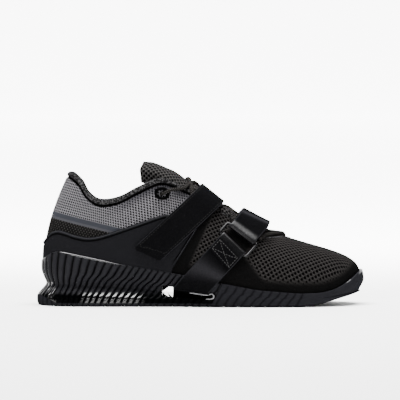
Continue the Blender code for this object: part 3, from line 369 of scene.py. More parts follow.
def make_mesh(name, points, faces, attributes=None):
    """An object at the origin from points and faces, with numbers kept on its points."""
    mesh = bpy.data.meshes.new(name)
    mesh.from_pydata(np.asarray(points).tolist(), [], faces)
    for key, values in (attributes or {}).items():
        made = mesh.attributes.new(key, "FLOAT", "POINT")
        made.data.foreach_set("value", np.asarray(values, np.float32).ravel())
    piece = bpy.data.objects.new(name, mesh)
    bpy.context.scene.collection.objects.link(piece)
    return piece


def select(piece):
    bpy.ops.object.select_all(action="DESELECT")
    bpy.context.view_layer.objects.active = piece
    piece.select_set(True)


def weld(piece, distance=0.01 * MM):
    """Merges doubled points and turns the faces outward."""
    select(piece)
    bpy.ops.object.mode_set(mode="EDIT")
    bpy.ops.mesh.select_all(action="SELECT")
    bpy.ops.mesh.remove_doubles(threshold=distance)
    bpy.ops.mesh.normals_make_consistent(inside=False)
    bpy.ops.object.mode_set(mode="OBJECT")
    return piece


def loop_faces(columns, rows, close_columns, close_rows):
    """Faces over a grid of points stored a column at a time."""
    faces = []
    for i in range(columns if close_columns else columns - 1):
        a, b = i * rows, (i + 1) % columns * rows
        for j in range(rows if close_rows else rows - 1):
            k = (j + 1) % rows
            faces.append((a + j, b + j, b + k, a + k))
    return faces


def skin(name, grid, close_columns=False, attributes=None):
    """A piece over a grid (column, row, xyz), closed round its rows and capped at its ends."""
    columns, rows = grid.shape[:2]
    faces = loop_faces(columns, rows, close_columns, True)
    if not close_columns:
        half = rows // 2
        for i in (0, columns - 1):
            for j in range(half - 1):
                ring = [j, j + 1, rows - 2 - j, rows - 1 - j]
                faces.append([i * rows + k for k in ring])
    piece = make_mesh(name, grid.reshape(-1, 3), faces, attributes)
    return weld(piece)


def finish(piece, paint, slot, *nodes, angle=40):
    """Gives a piece its paint and stands it in for its model nodes; the slot argument is not used."""
    select(piece)
    bpy.ops.object.shade_smooth_by_angle(angle=math.radians(angle))
    piece.data.materials.clear()
    piece.data.materials.append(paint.material)
    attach(piece, "root")
    if nodes:
        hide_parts(*nodes)


def tube_grid(line, width, height, sides, closed=False):
    """The grid of a round or oval tube along a line of points, and its lengths along."""
    points = [Vector(p) for p in line]
    count = len(points)
    columns, lengths = [], [0.0]
    side = None
    for i, point in enumerate(points):
        if closed:
            along = points[(i + 1) % count] - points[i - 1]
        else:
            along = points[min(i + 1, count - 1)] - points[max(i - 1, 0)]
        along.normalize()
        if side is None:
            side = along.cross(UP)
        side = (side - along * side.dot(along)).normalized()
        other = along.cross(side)
        turns = np.linspace(0, 2 * math.pi, sides, endpoint=False)
        w, h = width / 2, height / 2
        columns.append([point + side * w * math.cos(a) + other * h * math.sin(a) for a in turns])
        if i:
            lengths.append(lengths[-1] + (point - points[i - 1]).length)
    return np.array(columns), np.array(lengths)


# Paint: node materials written as arithmetic


class Number:
    """A socket of a material's nodes, with Python's arithmetic on it."""

    def __init__(self, paint, socket):
        self.paint = paint
        self.socket = socket

    def __add__(self, other):
        return self.paint.math("ADD", self, other)

    def __sub__(self, other):
        return self.paint.math("SUBTRACT", self, other)

    def __rsub__(self, other):
        return self.paint.math("SUBTRACT", other, self)

    def __mul__(self, other):
        return self.paint.math("MULTIPLY", self, other)

    def __truediv__(self, other):
        return self.paint.math("DIVIDE", self, other)

    __radd__ = __add__
    __rmul__ = __mul__


class Paint:
    """A material under construction round its Principled shader."""

    def __init__(self, name, colour, roughness, **settings):
        self.material = bpy.data.materials.new(name)
        self.material.use_nodes = True
        tree = self.material.node_tree
        self.nodes, self.links = tree.nodes, tree.links
        self.shader = self.nodes["Principled BSDF"]
        self.set("Base Color", (*colour, 1))
        self.set("Roughness", roughness)
        for key, value in settings.items():
            self.set(key.replace("_", " ").title().replace("Ior", "IOR"), value)

    def set(self, key, value):
        self.feed(self.shader.inputs[key], value)

    def feed(self, socket, value):
        if isinstance(value, Number):
            self.links.new(value.socket, socket)
        else:
            socket.default_value = value

    def node(self, kind, settings, inputs):
        made = self.nodes.new(kind)
        for key, value in settings.items():
            setattr(made, key, value)
        for key, value in inputs.items():
            self.feed(made.inputs[key], value)
        return made

    def math(self, operation, *values):
        made = self.node("ShaderNodeMath", {"operation": operation}, dict(enumerate(values)))
        return Number(self, made.outputs[0])

    def read(self, attribute):
        """A number kept on the piece's points."""
        made = self.node("ShaderNodeAttribute", {"attribute_name": attribute}, {})
        return Number(self, made.outputs["Fac"])

    def place(self):
        """The point in space."""
        return Number(self, self.node("ShaderNodeTexCoord", {}, {}).outputs["Object"])

    def split(self, place):
        made = self.node("ShaderNodeSeparateXYZ", {}, {0: place})
        return [Number(self, output) for output in made.outputs]

    def noise(self, place, scale, detail=2.0, rough=0.5):
        inputs = {"Vector": place, "Scale": scale, "Detail": detail, "Roughness": rough}
        return Number(self, self.node("ShaderNodeTexNoise", {}, inputs).outputs[0])

    def cells(self, place, scale):
        inputs = {"Vector": place, "Scale": scale}
        made = self.node("ShaderNodeTexVoronoi", {"feature": "F1"}, inputs)
        return Number(self, made.outputs["Distance"])

    def step(self, value, low, high):
        """0 below low and 1 above high; low may be the greater of the two."""
        inputs = {"Value": value, "From Min": low, "From Max": high}
        made = self.node("ShaderNodeMapRange", {"interpolation_type": "SMOOTHSTEP"}, inputs)
        return Number(self, made.outputs[0])

    def between(self, value, start, full, last, end):
        """0 before start, 1 from full to last, and 0 again from end on."""
        return self.step(value, start, full) * self.step(value, end, last)

    def greater(self, first, second):
        return self.math("MAXIMUM", first, second)

    def fraction(self, value):
        return self.math("FRACT", value)

    def wave(self, value, period):
        """0 to 1 and back over each period."""
        return self.math("SINE", value * (2 * math.pi / period)) * 0.5 + 0.5

    def mix(self, share, first, second):
        """A colour between two, each a triple or a colour socket."""
        made = self.node("ShaderNodeMix", {"data_type": "RGBA"}, {})
        for index, value in ((0, share), (6, first), (7, second)):
            self.feed(made.inputs[index], (*value, 1) if isinstance(value, tuple) else value)
        return Number(self, made.outputs[2])

    def relief(self, height, depth):
        """Bumps the surface by height, 0 to 1, times a depth in metres."""
        inputs = {"Height": height, "Distance": depth, "Strength": 1.0}
        self.set("Normal", Number(self, self.node("ShaderNodeBump", {}, inputs).outputs[0]))

    def holes(self, a, b, pitch_a, pitch_b, size, stagger=0.5):
        """1 in the round holes of a grid, its odd rows shifted; size is a radius or a socket."""
        row = self.math("FLOOR", b / pitch_b)
        odd = self.math("FLOORED_MODULO", row, 2.0)
        x = (self.fraction(a / pitch_a + odd * stagger) - 0.5) * pitch_a
        y = (self.fraction(b / pitch_b) - 0.5) * pitch_b
        reach = self.math("SQRT", x * x + y * y)
        return 1 - self.step(reach / size, 0.75, 1.15)


def rubber_paint():
    """The rubber, coated where it shines: under the heel, below the slot and along the toe's rim."""
    paint = Paint("moulded rubber", (0.0034, 0.0034, 0.0038), 0.5, specular_ior_level=0.0)
    place = paint.place()
    grain = paint.noise(place, 2600, 2)
    wide = paint.noise(place, 60, 2)
    ahead, _, height = paint.split(place)
    groove = paint.read("groove")
    # Painted shade: the grooves and notches low on the side are painted darker than the rubber round
    # them.
    notch = groove * paint.step(height, 22 * MM, 16 * MM)
    heel_foot = paint.between(ahead, -4 * MM, 4 * MM, 50 * MM, 62 * MM)
    flare = heel_foot * paint.step(height, 2.5 * MM, 4 * MM) * paint.step(groove, 0.5, 0.1)
    toe_edge = paint.read("lip") * paint.step(ahead, 222 * MM, 236 * MM)
    glass = paint.between(ahead, 84 * MM, 88 * MM, 117 * MM, 121 * MM)
    glass = glass * paint.between(height, 3 * MM, 4.5 * MM, 8 * MM, 9.5 * MM)
    flare = paint.greater(flare, glass * wide)
    paint.set("Coat Weight", paint.greater(flare, toe_edge * 0.2))
    paint.set("Coat Roughness", 0.08)
    paint.set("Base Color", paint.mix(notch, (0.0088, 0.0088, 0.0102), (0.0034, 0.0034, 0.0040)))
    paint.set("Roughness", wide * 0.12 + 0.40)
    paint.relief(grain, 0.05 * MM)
    return paint


def heel_paint():
    """The heel's moulding: satin ribs painted light on their crests and near black in their valleys, as
    painted highlight and shade, and a glassy flare at their foot.
    """
    paint = Paint("gloss moulding", (0.0016, 0.0016, 0.0020), 0.11, specular_ior_level=0.008)
    place = paint.place()
    ahead, _, height = paint.split(place)
    groove = paint.read("groove")
    wide = paint.noise(place, 90, 3)
    low = paint.step(height, 13.5 * MM, 10 * MM)
    # Painted highlight and shade: the rib crests are painted lighter and the valleys near black.
    shade = paint.mix(groove, (0.0100, 0.0100, 0.0114), (0.0003, 0.0003, 0.0004))
    paint.set("Base Color", paint.mix(low, shade, (0.0004, 0.0005, 0.0006)))
    paint.set("Roughness", wide * 0.1 + 0.26 - low * 0.2)
    heel_foot = paint.between(ahead, 0, 10 * MM, 50 * MM, 62 * MM)
    rear = paint.between(ahead, -28 * MM, -26 * MM, -21 * MM, -19 * MM)
    streaks = paint.step(paint.noise(place, 160, 1), 0.45, 0.6)
    rear = rear * paint.step(height, 22 * MM, 20 * MM) * streaks
    flare = low * heel_foot * paint.step(groove, 0.5, 0.1)
    behind = paint.between(ahead, -24 * MM, -12 * MM, 20 * MM, 44 * MM)
    shine = paint.greater(paint.greater(flare, rear), paint.read("lip") * behind)
    paint.set("Coat Weight", shine)
    paint.set("Coat Roughness", 0.06)
    paint.relief(paint.noise(place, 120, 2), 0.12 * MM)
    return paint


def film_paint():
    """The cage's film, with a painted highlight on the bead along its edges and painted shade in the
    groove beside it.
    """
    paint = Paint("satin film", (0.0027, 0.0027, 0.0032), 0.42, specular_ior_level=0.0)
    place = paint.place()
    paint.set("Roughness", paint.noise(place, 40, 2) * 0.1 + 0.38)
    edge = paint.read("edge")
    # Painted shade darkens the groove beside the bead, and a painted highlight lightens the bead.
    plain = paint.mix(paint.step(edge, 0, -0.6), (0.0058, 0.0058, 0.0066), (0.0013, 0.0013, 0.0014))
    paint.set("Base Color", paint.mix(paint.step(edge, 0.3, 0.9), plain, (0.0150, 0.0150, 0.0166)))
    paint.relief(paint.noise(place, 1500, 2), 0.02 * MM)
    return paint


def strap_paint():
    """Matte microfibre, coated where it folds round the ring, with a band of painted sheen some way from
    the ring and painted highlights along its edges.
    """
    paint = Paint("strap microfibre", (0.0016, 0.0016, 0.0018), 0.5, specular_ior_level=0.0)
    place = paint.place()
    grain = paint.cells(place, 900)
    fine = paint.noise(place, 700, 3)
    cloth = paint.mix(fine, (0.0010, 0.0010, 0.0012), (0.0034, 0.0034, 0.0037))
    # Painted sheen: a lighter band some way from the ring's bar.
    cloth = paint.mix(paint.read("painted_sheen"), cloth, (0.0105, 0.0103, 0.0115))
    # Painted highlight: the strap's edges are painted lighter.
    edge = paint.step(paint.math("ABSOLUTE", paint.read("across")), 0.93, 0.975)
    paint.set("Base Color", paint.mix(edge, cloth, (0.0085, 0.0085, 0.0095)))
    upper = paint.step(paint.split(place)[2], 58 * MM, 66 * MM) * 0.6 + 0.4
    paint.set("Coat Weight", paint.read("fold") * upper * (fine * 0.5 + 0.1))
    paint.set("Coat Roughness", 0.3)
    paint.relief(grain, 0.06 * MM)
    return paint


def cord_paint():
    paint = Paint("braided cord", (0.0064, 0.0059, 0.0058), 0.8, specular_ior_level=0.0)
    along, around = paint.read("along"), paint.read("around")
    one = paint.wave(along + around * 0.9, BRAID_PERIOD)
    two = paint.wave(along - around * 0.9, BRAID_PERIOD)
    weave = paint.math("SQRT", one * two)
    shade = paint.mix(weave, (0.0008, 0.0008, 0.0008), (0.0300, 0.0280, 0.0268))
    paint.set("Base Color", shade)
    paint.relief(weave, 0.35 * MM)
    return paint


def ring_paint():
    paint = Paint("ring finish", (0.0019, 0.0019, 0.0022), 0.14, specular_ior_level=0.18)
    paint.relief(paint.noise(paint.place(), 300, 2), 0.02 * MM)
    return paint


def eyelet_paint():
    paint = Paint("eyelet coating", (0.0005, 0.0005, 0.0006), 0.2, specular_ior_level=0.006)
    paint.relief(paint.noise(paint.place(), 900, 2), 0.03 * MM)
    return paint


# A light grey gloss for the painted highlight along the slot's edge.
def slot_highlight_paint():
    paint = Paint("painted slot highlight", (0.12, 0.12, 0.125), 0.12, specular_ior_level=0.5)
    paint.relief(paint.noise(paint.place(), 300, 2), 0.05 * MM)
    return paint


def lining_paint():
    paint = Paint("insole cloth", (0.0032, 0.0032, 0.0034), 0.9, specular_ior_level=0.05)
    place = paint.place()
    weave = paint.noise(place, 1400, 2)
    paint.set("Base Color", paint.mix(weave, (0.0019, 0.0019, 0.0021), (0.0054, 0.0054, 0.0058)))
    paint.relief(weave, 0.2 * MM)
    return paint


def thread_paint(name, shade):
    paint = Paint(name, (shade, shade, shade), 0.6, specular_ior_level=0.0)
    paint.relief(paint.noise(paint.place(), 2500, 1), 0.05 * MM)
    return paint


def knit_paint():
    """The upper's knit: light mesh quarter with its ribbed strip, black heel, holed vamp."""
    paint = Paint("knitted upper", (0.0064, 0.0064, 0.0064), 0.88, specular_ior_level=0.0)
    rim, top = paint.read("over_rim"), paint.read("below_top")
    strip, round_heel = paint.read("over_strip"), paint.read("round")
    girth, length = paint.read("girth"), paint.read("length")
    inside, front = paint.read("inside"), paint.read("front")
    place = paint.place()
    fuzz = paint.noise(place, 1300, 3, 0.6)
    patches = paint.noise(place, 70, 2)

    # The quarter's light mesh: a pin hole in each loop, in shadow below the collar's front
    pin = paint.holes(round_heel, strip, PIN_PITCH, KNIT_ROW, 0.84 * MM, 0.0)
    loops = paint.wave(round_heel, PIN_PITCH)
    mesh = paint.mix(loops * 0.6 + fuzz * 0.4, (0.060, 0.058, 0.063), (0.134, 0.130, 0.138))
    mesh = paint.mix(pin, mesh, (0.0019, 0.0018, 0.0021))
    x, _, z = paint.split(place)
    shadow = paint.step(top, 15 * MM, 5 * MM) * paint.step(x, 20 * MM, 52 * MM) * 0.7
    mesh = paint.mix(shadow, mesh, (0.0130, 0.0130, 0.0155))
    mesh_height = (1 - pin) * 0.8 + loops * 0.2

    # The ribbed strip, lighter along its lower edge
    ribs = paint.wave(round_heel, 1.25 * MM)
    band = paint.mix(ribs * 0.5 + patches * 0.5, (0.013, 0.0137, 0.0165), (0.030, 0.0315, 0.038))
    lower = paint.step(strip, -3.6 * MM, -4.4 * MM)
    band = paint.mix(lower, band, (0.034, 0.0338, 0.038))

    # The black band round the heel, with its light specks
    speck = paint.holes(round_heel, strip, 3.2 * MM, 1.9 * MM, 0.65 * MM)
    black = paint.mix(fuzz, (0.0019, 0.0019, 0.0019), (0.0054, 0.0051, 0.0050))
    black = paint.mix(speck, black, (0.0260, 0.0250, 0.0240))

    # The vamp: rows of holes, which fade toward the sole and beside the straps
    fade = paint.step(rim, 6.5 * MM, 15 * MM)
    ahead = paint.step(x + z * 0.75, 181 * MM, 189 * MM)
    ahead = ahead * paint.step(x - z * 0.74, 112 * MM, 121 * MM)
    behind = paint.step(x - z * 0.46 - 83.1 * MM, -2 * MM, 3 * MM)
    before = paint.step(x - z, 72 * MM, 62 * MM)
    fade = fade * paint.greater(ahead, behind * before)
    size = fade * (1.22 * MM) + 0.05 * MM
    hole = paint.holes(length, girth, HOLE_PITCH, KNIT_ROW, size) * paint.step(rim, 6 * MM, 9 * MM)
    cable = paint.wave(girth, KNIT_ROW)
    vamp = paint.mix(cable * 0.4 + fuzz * 0.6, (0.0040, 0.0037, 0.0036), (0.0240, 0.0224, 0.0217))
    plain = paint.mix(fuzz, (0.0008, 0.0008, 0.0008), (0.0040, 0.0039, 0.0039))
    vamp = paint.mix(1 - fade, vamp, plain)
    vamp = paint.mix(hole, vamp, (0.0005, 0.0005, 0.0005))
    vamp_height = (1 - hole) * 0.7 + cable * fade * 0.3

    # Which cloth lies where
    is_band = paint.step(strip, 0.25 * MM, -0.25 * MM) * paint.step(strip, -6.4 * MM, -5.9 * MM)
    is_black = paint.step(strip, -5.9 * MM, -6.4 * MM)
    colour = paint.mix(is_band, mesh, band)
    colour = paint.mix(is_black, colour, black)
    colour = paint.mix(front, colour, vamp)

    # The rolled edge of the opening and the dark groove below it
    roll = paint.step(top, 2.5 * MM, 2.0 * MM)
    twill = paint.wave(round_heel + top * 0.8, 2.1 * MM)
    tufts = paint.step(paint.noise(place, 620, 1), 0.48, 0.62)
    pile = tufts * 0.8 + twill * 0.2
    binding = paint.mix(pile, (0.0012, 0.0012, 0.0012), (0.0420, 0.0410, 0.0420))
    colour = paint.mix(roll, colour, binding)
    groove = paint.between(top, 2.0 * MM, 2.5 * MM, 4.4 * MM, 5.2 * MM)
    colour = paint.mix(groove * (1 - front), colour, (0.0006, 0.0006, 0.0006))
    colour = paint.mix(inside, colour, (0.0035, 0.0035, 0.0037))
    paint.set("Base Color", colour)

    height = mesh_height * (1 - is_band) + (ribs * 0.3 + 0.5) * is_band
    height = height * (1 - front) + vamp_height * front
    height = height * (1 - roll) + (twill * 0.3 + 0.4) * roll
    paint.relief(height + fuzz * 0.15, 0.55 * MM)
    return paint


def tongue_paint():
    paint = Paint("perforated knit", (0.0064, 0.0064, 0.0064), 0.88, specular_ior_level=0.0)
    along, across = paint.read("along"), paint.read("across")
    fuzz = paint.noise(paint.place(), 1300, 3, 0.6)
    hole = paint.holes(across, along, TONGUE_HOLE_PITCH, KNIT_ROW, 1.3 * MM)
    cable = paint.wave(along, KNIT_ROW)
    knit = paint.mix(cable * 0.4 + fuzz * 0.6, (0.0090, 0.0086, 0.0085), (0.0470, 0.0450, 0.0440))
    paint.set("Base Color", paint.mix(hole, knit, (0.0006, 0.0006, 0.0006)))
    paint.relief((1 - hole) * 0.7 + cable * 0.3 + fuzz * 0.15, 0.6 * MM)
    return paint


# Sole


RIB_END = 0.575 * SHOE_LENGTH
SOLE_ARC = 1.11 * SHOE_LENGTH


def rib_groove(s):
    """How deep each arc length lies in one of the grooves between the ribs, 0 to 1."""
    phase = s / RIB_END * round(RIB_END / RIB_PITCH)
    away = np.abs(phase - np.floor(phase) - 0.5)
    return np.where(s < RIB_END, bell(away, 0, 0.27), 0.0)


def notch_cut(s):
    """How deep each arc length lies in one of the slanted notches of the forefoot, 0 to 1."""
    last = 0.86 * SHOE_LENGTH
    count = round((last - RIB_END) / NOTCH_PITCH)
    cut = (s - RIB_END) / (last - RIB_END) * count
    return np.where((cut > 0) & (cut < count), bell(cut - np.floor(cut), 0.5, 0.22), 0.0)


def rib_relief(s):
    """Relief of the sole's side at arc length s: fan ribs behind, slanted notches in front."""
    fins = RIB_DEPTH * (0.5 - 1.7 * rib_groove(s))
    return np.where(s < RIB_END, fins, -NOTCH_DEPTH * notch_cut(s))


def rib_sweep(s):
    heel = RIB_SWEEP * ramp(s, 0.05 * SHOE_LENGTH, 0.28 * SHOE_LENGTH)
    ball = NOTCH_SWEEP * (1 - ramp(s, 0.74 * SHOE_LENGTH, 0.95 * SHOE_LENGTH))
    return heel + (ball - heel) * ramp(s, 0.40 * SHOE_LENGTH, 0.62 * SHOE_LENGTH)


def sole_key_rows(foot, head, relief):
    """The key points of the sole's columns, from the floor to the rim."""
    levels = len(SOLE_SIDE) + 2
    keys = []
    for k, (level, heel, ball, toe, rib) in enumerate(SOLE_SIDE):
        u = foot + (head - foot) * (k / levels) ** 1.3
        edge, out = foot_edge(u), foot_outward(u)
        x = edge[:, 0]
        at_heel = 1 - ramp(x, 0.20 * SHOE_LENGTH, 0.42 * SHOE_LENGTH)
        at_toe = ramp(x, 0.72 * SHOE_LENGTH, 0.835 * SHOE_LENGTH)
        ledge = heel * at_heel + toe * at_toe + ball * (1 - at_heel - at_toe)
        plan = edge + out * (ledge * SOLE_LEDGE + relief * rib)[:, None]
        bottom = floor_height(x)
        keys.append(stacked(*plan.T, bottom + level * (footbed_height(x) - bottom)))
    skin_out = FIT + RIM_WALL
    u = foot + (head - foot) * len(SOLE_SIDE) / levels
    keys.append(cup_point(u, 0, skin_out + relief))
    u = foot + (head - foot) * (len(SOLE_SIDE) + 1) / levels
    bulge = TOE_BULGE * ramp(foot_edge(u)[:, 0], 0.72 * SHOE_LENGTH, 0.83 * SHOE_LENGTH)
    keys.append(cup_point(u, 0.5, skin_out + bulge + relief * HALF_RIM_RIB))
    keys.append(cup_point(head, 1.0, skin_out + 0 * relief))
    return np.array(keys)


def cup_point(u, part, outward):
    """Points beside the last between footbed level and the rim, outward of its surface."""
    outward = np.broadcast_to(outward, u.shape)
    if part == 0:
        edge = foot_edge(u)
        plan = edge + foot_outward(u) * outward[:, None]
        return stacked(*plan.T, footbed_height(edge[:, 0]))
    point = last_point(u, rim_share(u, part))
    plan = point[:, :2] + foot_outward(u) * outward[:, None]
    return stacked(*plan.T, point[:, 2])


def sole_arc():
    """The arc lengths at which the sole's columns stand, closest among the ribs."""
    ribbed = np.linspace(0, RIB_END, 340, endpoint=False)
    return np.concatenate([ribbed, np.linspace(RIB_END, SOLE_ARC, 190)])


def sole_side(side):
    """The columns of one side, an array (row, column, xyz)."""
    rows, lengths = side_lengths(side)
    total = lengths[-1]
    s = sole_arc()
    sweep = rib_sweep(s)
    scale = total / SOLE_ARC
    foot = side * np.interp(np.clip((s - sweep / 2) * scale, 0, total), lengths, rows)
    head = side * np.interp(np.clip((s + sweep / 2) * scale, 0, total), lengths, rows)
    keys = sole_key_rows(foot, head, rib_relief(s))
    outside = smooth_rows(keys, 5)
    skin_in = FIT + 0 * s
    lip = []
    for turn in (45, 90, 135):
        a = math.radians(turn)
        reach = FIT + RIM_WALL / 2 * (1 + math.cos(a))
        raised = cup_point(head, 1.0, reach + 0 * s)
        lip.append(raised + [0, 0, 0.45 * RIM_WALL * math.sin(a)])
    inside = [cup_point(head, part, skin_in) for part in (1.0, 0.5, 0.0)]
    return np.concatenate([outside, lip, inside])


def sole_cup(name):
    """The whole cup sole in one body: floor, ribbed sides, rim and footbed."""
    groove = np.maximum(rib_groove(sole_arc()), notch_cut(sole_arc()))
    count = len(groove)
    lateral, medial = sole_side(1), sole_side(-1)[:, 1:-1]
    ring = np.concatenate([lateral, medial[:, ::-1]], axis=1)
    grid = ring.transpose(1, 0, 2)
    columns, rows = grid.shape[:2]
    faces = loop_faces(columns, rows, True, False)
    for row in (0, rows - 1):
        for k in range(count - 1):
            left = [k, k + 1]
            right = [(columns - k - 1) % columns, (columns - k) % columns]
            index = [i * rows + row for i in (*left, *right)]
            faces.append([i for n, i in enumerate(index) if i not in index[:n]])
    groove = np.repeat(np.concatenate([groove, groove[-2:0:-1]]), rows)
    lip = np.zeros((columns, rows))
    lip[:, -7:-3] = 1
    return weld(make_mesh(name, grid.reshape(-1, 3), faces, {"groove": groove, "lip": lip}))


def prism(outline, low_y, high_y):
    """A body across the shoe over an outline of (x, z) points."""
    count = len(outline)
    points = [(x, y, z) for y in (low_y, high_y) for x, z in outline]
    faces = [[(i + 1) % count, i, i + count, (i + 1) % count + count] for i in range(count)]
    faces += [list(range(count)), list(range(2 * count - 1, count - 1, -1))]
    return weld(make_mesh("cutter", points, faces))


def cut(piece, cutter, operation):
    select(piece)
    modifier = piece.modifiers.new("Boolean", "BOOLEAN")
    modifier.object, modifier.operation, modifier.solver = cutter, operation, "EXACT"
    bpy.ops.object.modifier_apply(modifier=modifier.name)
    bpy.data.objects.remove(cutter)


def joint_outline(gap):
    """The (x, z) outline over which the heel block replaces the rubber, drawn in by gap."""
    rear, high = -0.3 * SHOE_LENGTH, 3 * RIM_HEIGHT
    wedge = 3 * RUBBER_PLATE + gap
    plate = RUBBER_PLATE + gap
    front = 0.409 * SHOE_LENGTH - gap
    lean = 0.034 * SHOE_LENGTH
    return [
        (rear, wedge),
        (-0.112 * SHOE_LENGTH, wedge),
        (-0.066 * SHOE_LENGTH, plate),
        (front, plate),
        (front + lean, plate + 0.4 * RIM_HEIGHT),
        (front + lean, high),
        (rear, high),
    ]


def slot_outline():
    """The outline of the strap's slot through the arch, round at its front end."""
    x0, x1 = 0.257 * SHOE_LENGTH, 0.418 * SHOE_LENGTH
    low0, low1, high0, high1 = (h * HEEL_LIFT for h in (0.31, 0.21, 0.62, 0.43))
    radius = (high1 - low1) / 2
    centre = (x1 - radius, (low1 + high1) / 2)
    turns = np.linspace(-math.pi / 2, math.pi / 2, 13)
    nose = [(centre[0] + radius * math.cos(a), centre[1] + radius * math.sin(a)) for a in turns]
    return [(x0, low0), *nose, (x0, high0)]


def tread_cutter():
    """Bars across the underside: wide pitch under heel and arch, close pitch under the ball."""
    points, faces = [], []
    half = TREAD_WIDTH / 2
    corners = [(-half, -TREAD_DEPTH), (half, -TREAD_DEPTH), (half, TREAD_DEPTH), (-half, TREAD_DEPTH)]
    box = [(0, 1, 2, 3), (7, 6, 5, 4), (0, 4, 5, 1), (1, 5, 6, 2), (2, 6, 7, 3), (3, 7, 4, 0)]
    x = -0.085 * SHOE_LENGTH
    while x < 0.69 * SHOE_LENGTH:
        start = len(points)
        for y in (-BALL_WIDTH, BALL_WIDTH):
            points += [(x - 0.12 * y + dx, y, z) for dx, z in corners]
        faces += [[start + i for i in face] for face in box]
        x += TREAD_PITCH if x < 0.42 * SHOE_LENGTH else BALL_TREAD_PITCH
    return weld(make_mesh("cutter", points, faces))


def slot_level(x, first, last):
    """The height of a straight side of the slot between two corners of its outline."""
    outline = slot_outline()
    (xa, za), (xb, zb) = outline[first], outline[last]
    return za + (zb - za) * (x - xa) / (xb - xa)


def slot_top(x):
    return slot_level(x, -1, -2)


def slot_foot(x):
    return slot_level(x, 0, 1)


def make_slot_wall(gloss):
    """A dark wall in the middle of the slot, put there as painted shade for the slot's inside, which
    leaves the slot open behind the strap.
    """
    outline = slot_outline()
    start, end = outline[0][0], max(x for x, _ in outline)
    rear, front = 84.3 * MM, 85.6 * MM
    wall = [
        (start - MM, slot_top(start) + MM),
        (start - MM, slot_foot(start) + 1.3 * MM),
        (rear, slot_top(rear)),
        (front, slot_top(front)),
        (front, slot_foot(front) - MM),
        (end - 2 * MM, slot_foot(end) - MM),
        (end + MM, (slot_foot(end) + slot_top(end)) / 2),
        (end - 2 * MM, slot_top(end) + MM),
    ]
    piece = prism(wall, -MM, MM)
    piece.name = "slot_shade_wall"
    finish(piece, gloss, "gloss_heel", angle=30)


def make_slot_lip():
    """A light grey tube along the slot's edge, as a painted highlight: from under the strap, round the
    slot's nose and a little back.
    """
    bend = slot_outline()[1:-1]
    turn = Vector((bend[0][0], 0, (bend[0][1] + bend[-1][1]) / 2))
    reach = abs(bend[0][1] - turn.z) - 0.9 * MM
    under_strap, drop, wire = 101 * MM, 2.9 * MM, 1.3 * MM
    path = [(x, slot_top(x) - drop) for x in np.linspace(under_strap, turn.x - 4 * MM, 10)]
    for a in np.linspace(95, -90, 12):
        a = math.radians(a)
        path.append((turn.x + reach * math.cos(a), turn.z + reach * math.sin(a)))
    path += [(x, turn.z - reach) for x in (turn.x - 2 * MM, turn.x - 5 * MM)]
    tree = surface_tree(["heel_block", "outsole"])
    line = []
    for x, z in path:
        away = Vector((x, 0, z)) - turn
        probe = Vector((x, -0.1, z)) + away.normalized() * 2.2 * MM
        if x < turn.x - 3 * MM:
            probe.z = slot_foot(x) - MM
        hit, _, _, _ = tree.ray_cast(probe, Vector((0, 1, 0)))
        if hit is not None:
            line.append(Vector((x, hit.y + 0.2 * MM, z)))
    grid, _ = tube_grid(eased(line, 0.8 * MM), wire, wire, 12)
    lip = skin("slot_highlight", grid)
    finish(lip, slot_highlight_paint(), "gloss_heel", angle=60)


def make_sole(rubber, gloss):
    reach = 2 * BALL_WIDTH
    outsole = sole_cup("outsole_skin")
    cut(outsole, prism(joint_outline(0), -reach, reach), "DIFFERENCE")
    cut(outsole, tread_cutter(), "DIFFERENCE")
    finish(outsole, rubber, "rubber", "outsole", angle=35)
    make_slot_wall(gloss)
    make_slot_lip()
    block = sole_cup("heel_block_skin")
    cut(block, prism(joint_outline(TOUCH), -reach, reach), "INTERSECT")
    cut(block, prism(slot_outline(), -reach, reach), "DIFFERENCE")
    finish(block, gloss, "gloss_heel", "heel_block", angle=45)


# Upper


def collar_relief(u, below):
    """The rolled binding of the opening and the groove under it, by distance below the top."""
    roll = np.sqrt(np.clip(1 - ((below - 0.9 * MM) / (1.4 * MM)) ** 2, 0, 1)) * 0.7 * MM
    groove = -1.0 * MM * bell(below, 3.4 * MM, 1.5 * MM)
    return (roll + groove) * (0.35 + 0.65 * collar_share(u))


# What an attribute says where the top or the rim is out of the question
FAR_BELOW = 99 * MM
FAR_OVER = 50 * MM

# The ribbed strip's upper edge: its height at the heel's back, and its fall from there forward
STRIP_HEIGHT = 84.6 * MM
STRIP_START = -21.8 * MM
STRIP_FALL = 0.241

# The leaning line along which the vamp's cloth takes over from the quarter's
VAMP_START = 66 * MM
VAMP_BLEND = 4 * MM
VAMP_LEVEL = 50.5 * MM
VAMP_LEAN = 0.99


def strip_height(x):
    return STRIP_HEIGHT - (x - STRIP_START) * STRIP_FALL


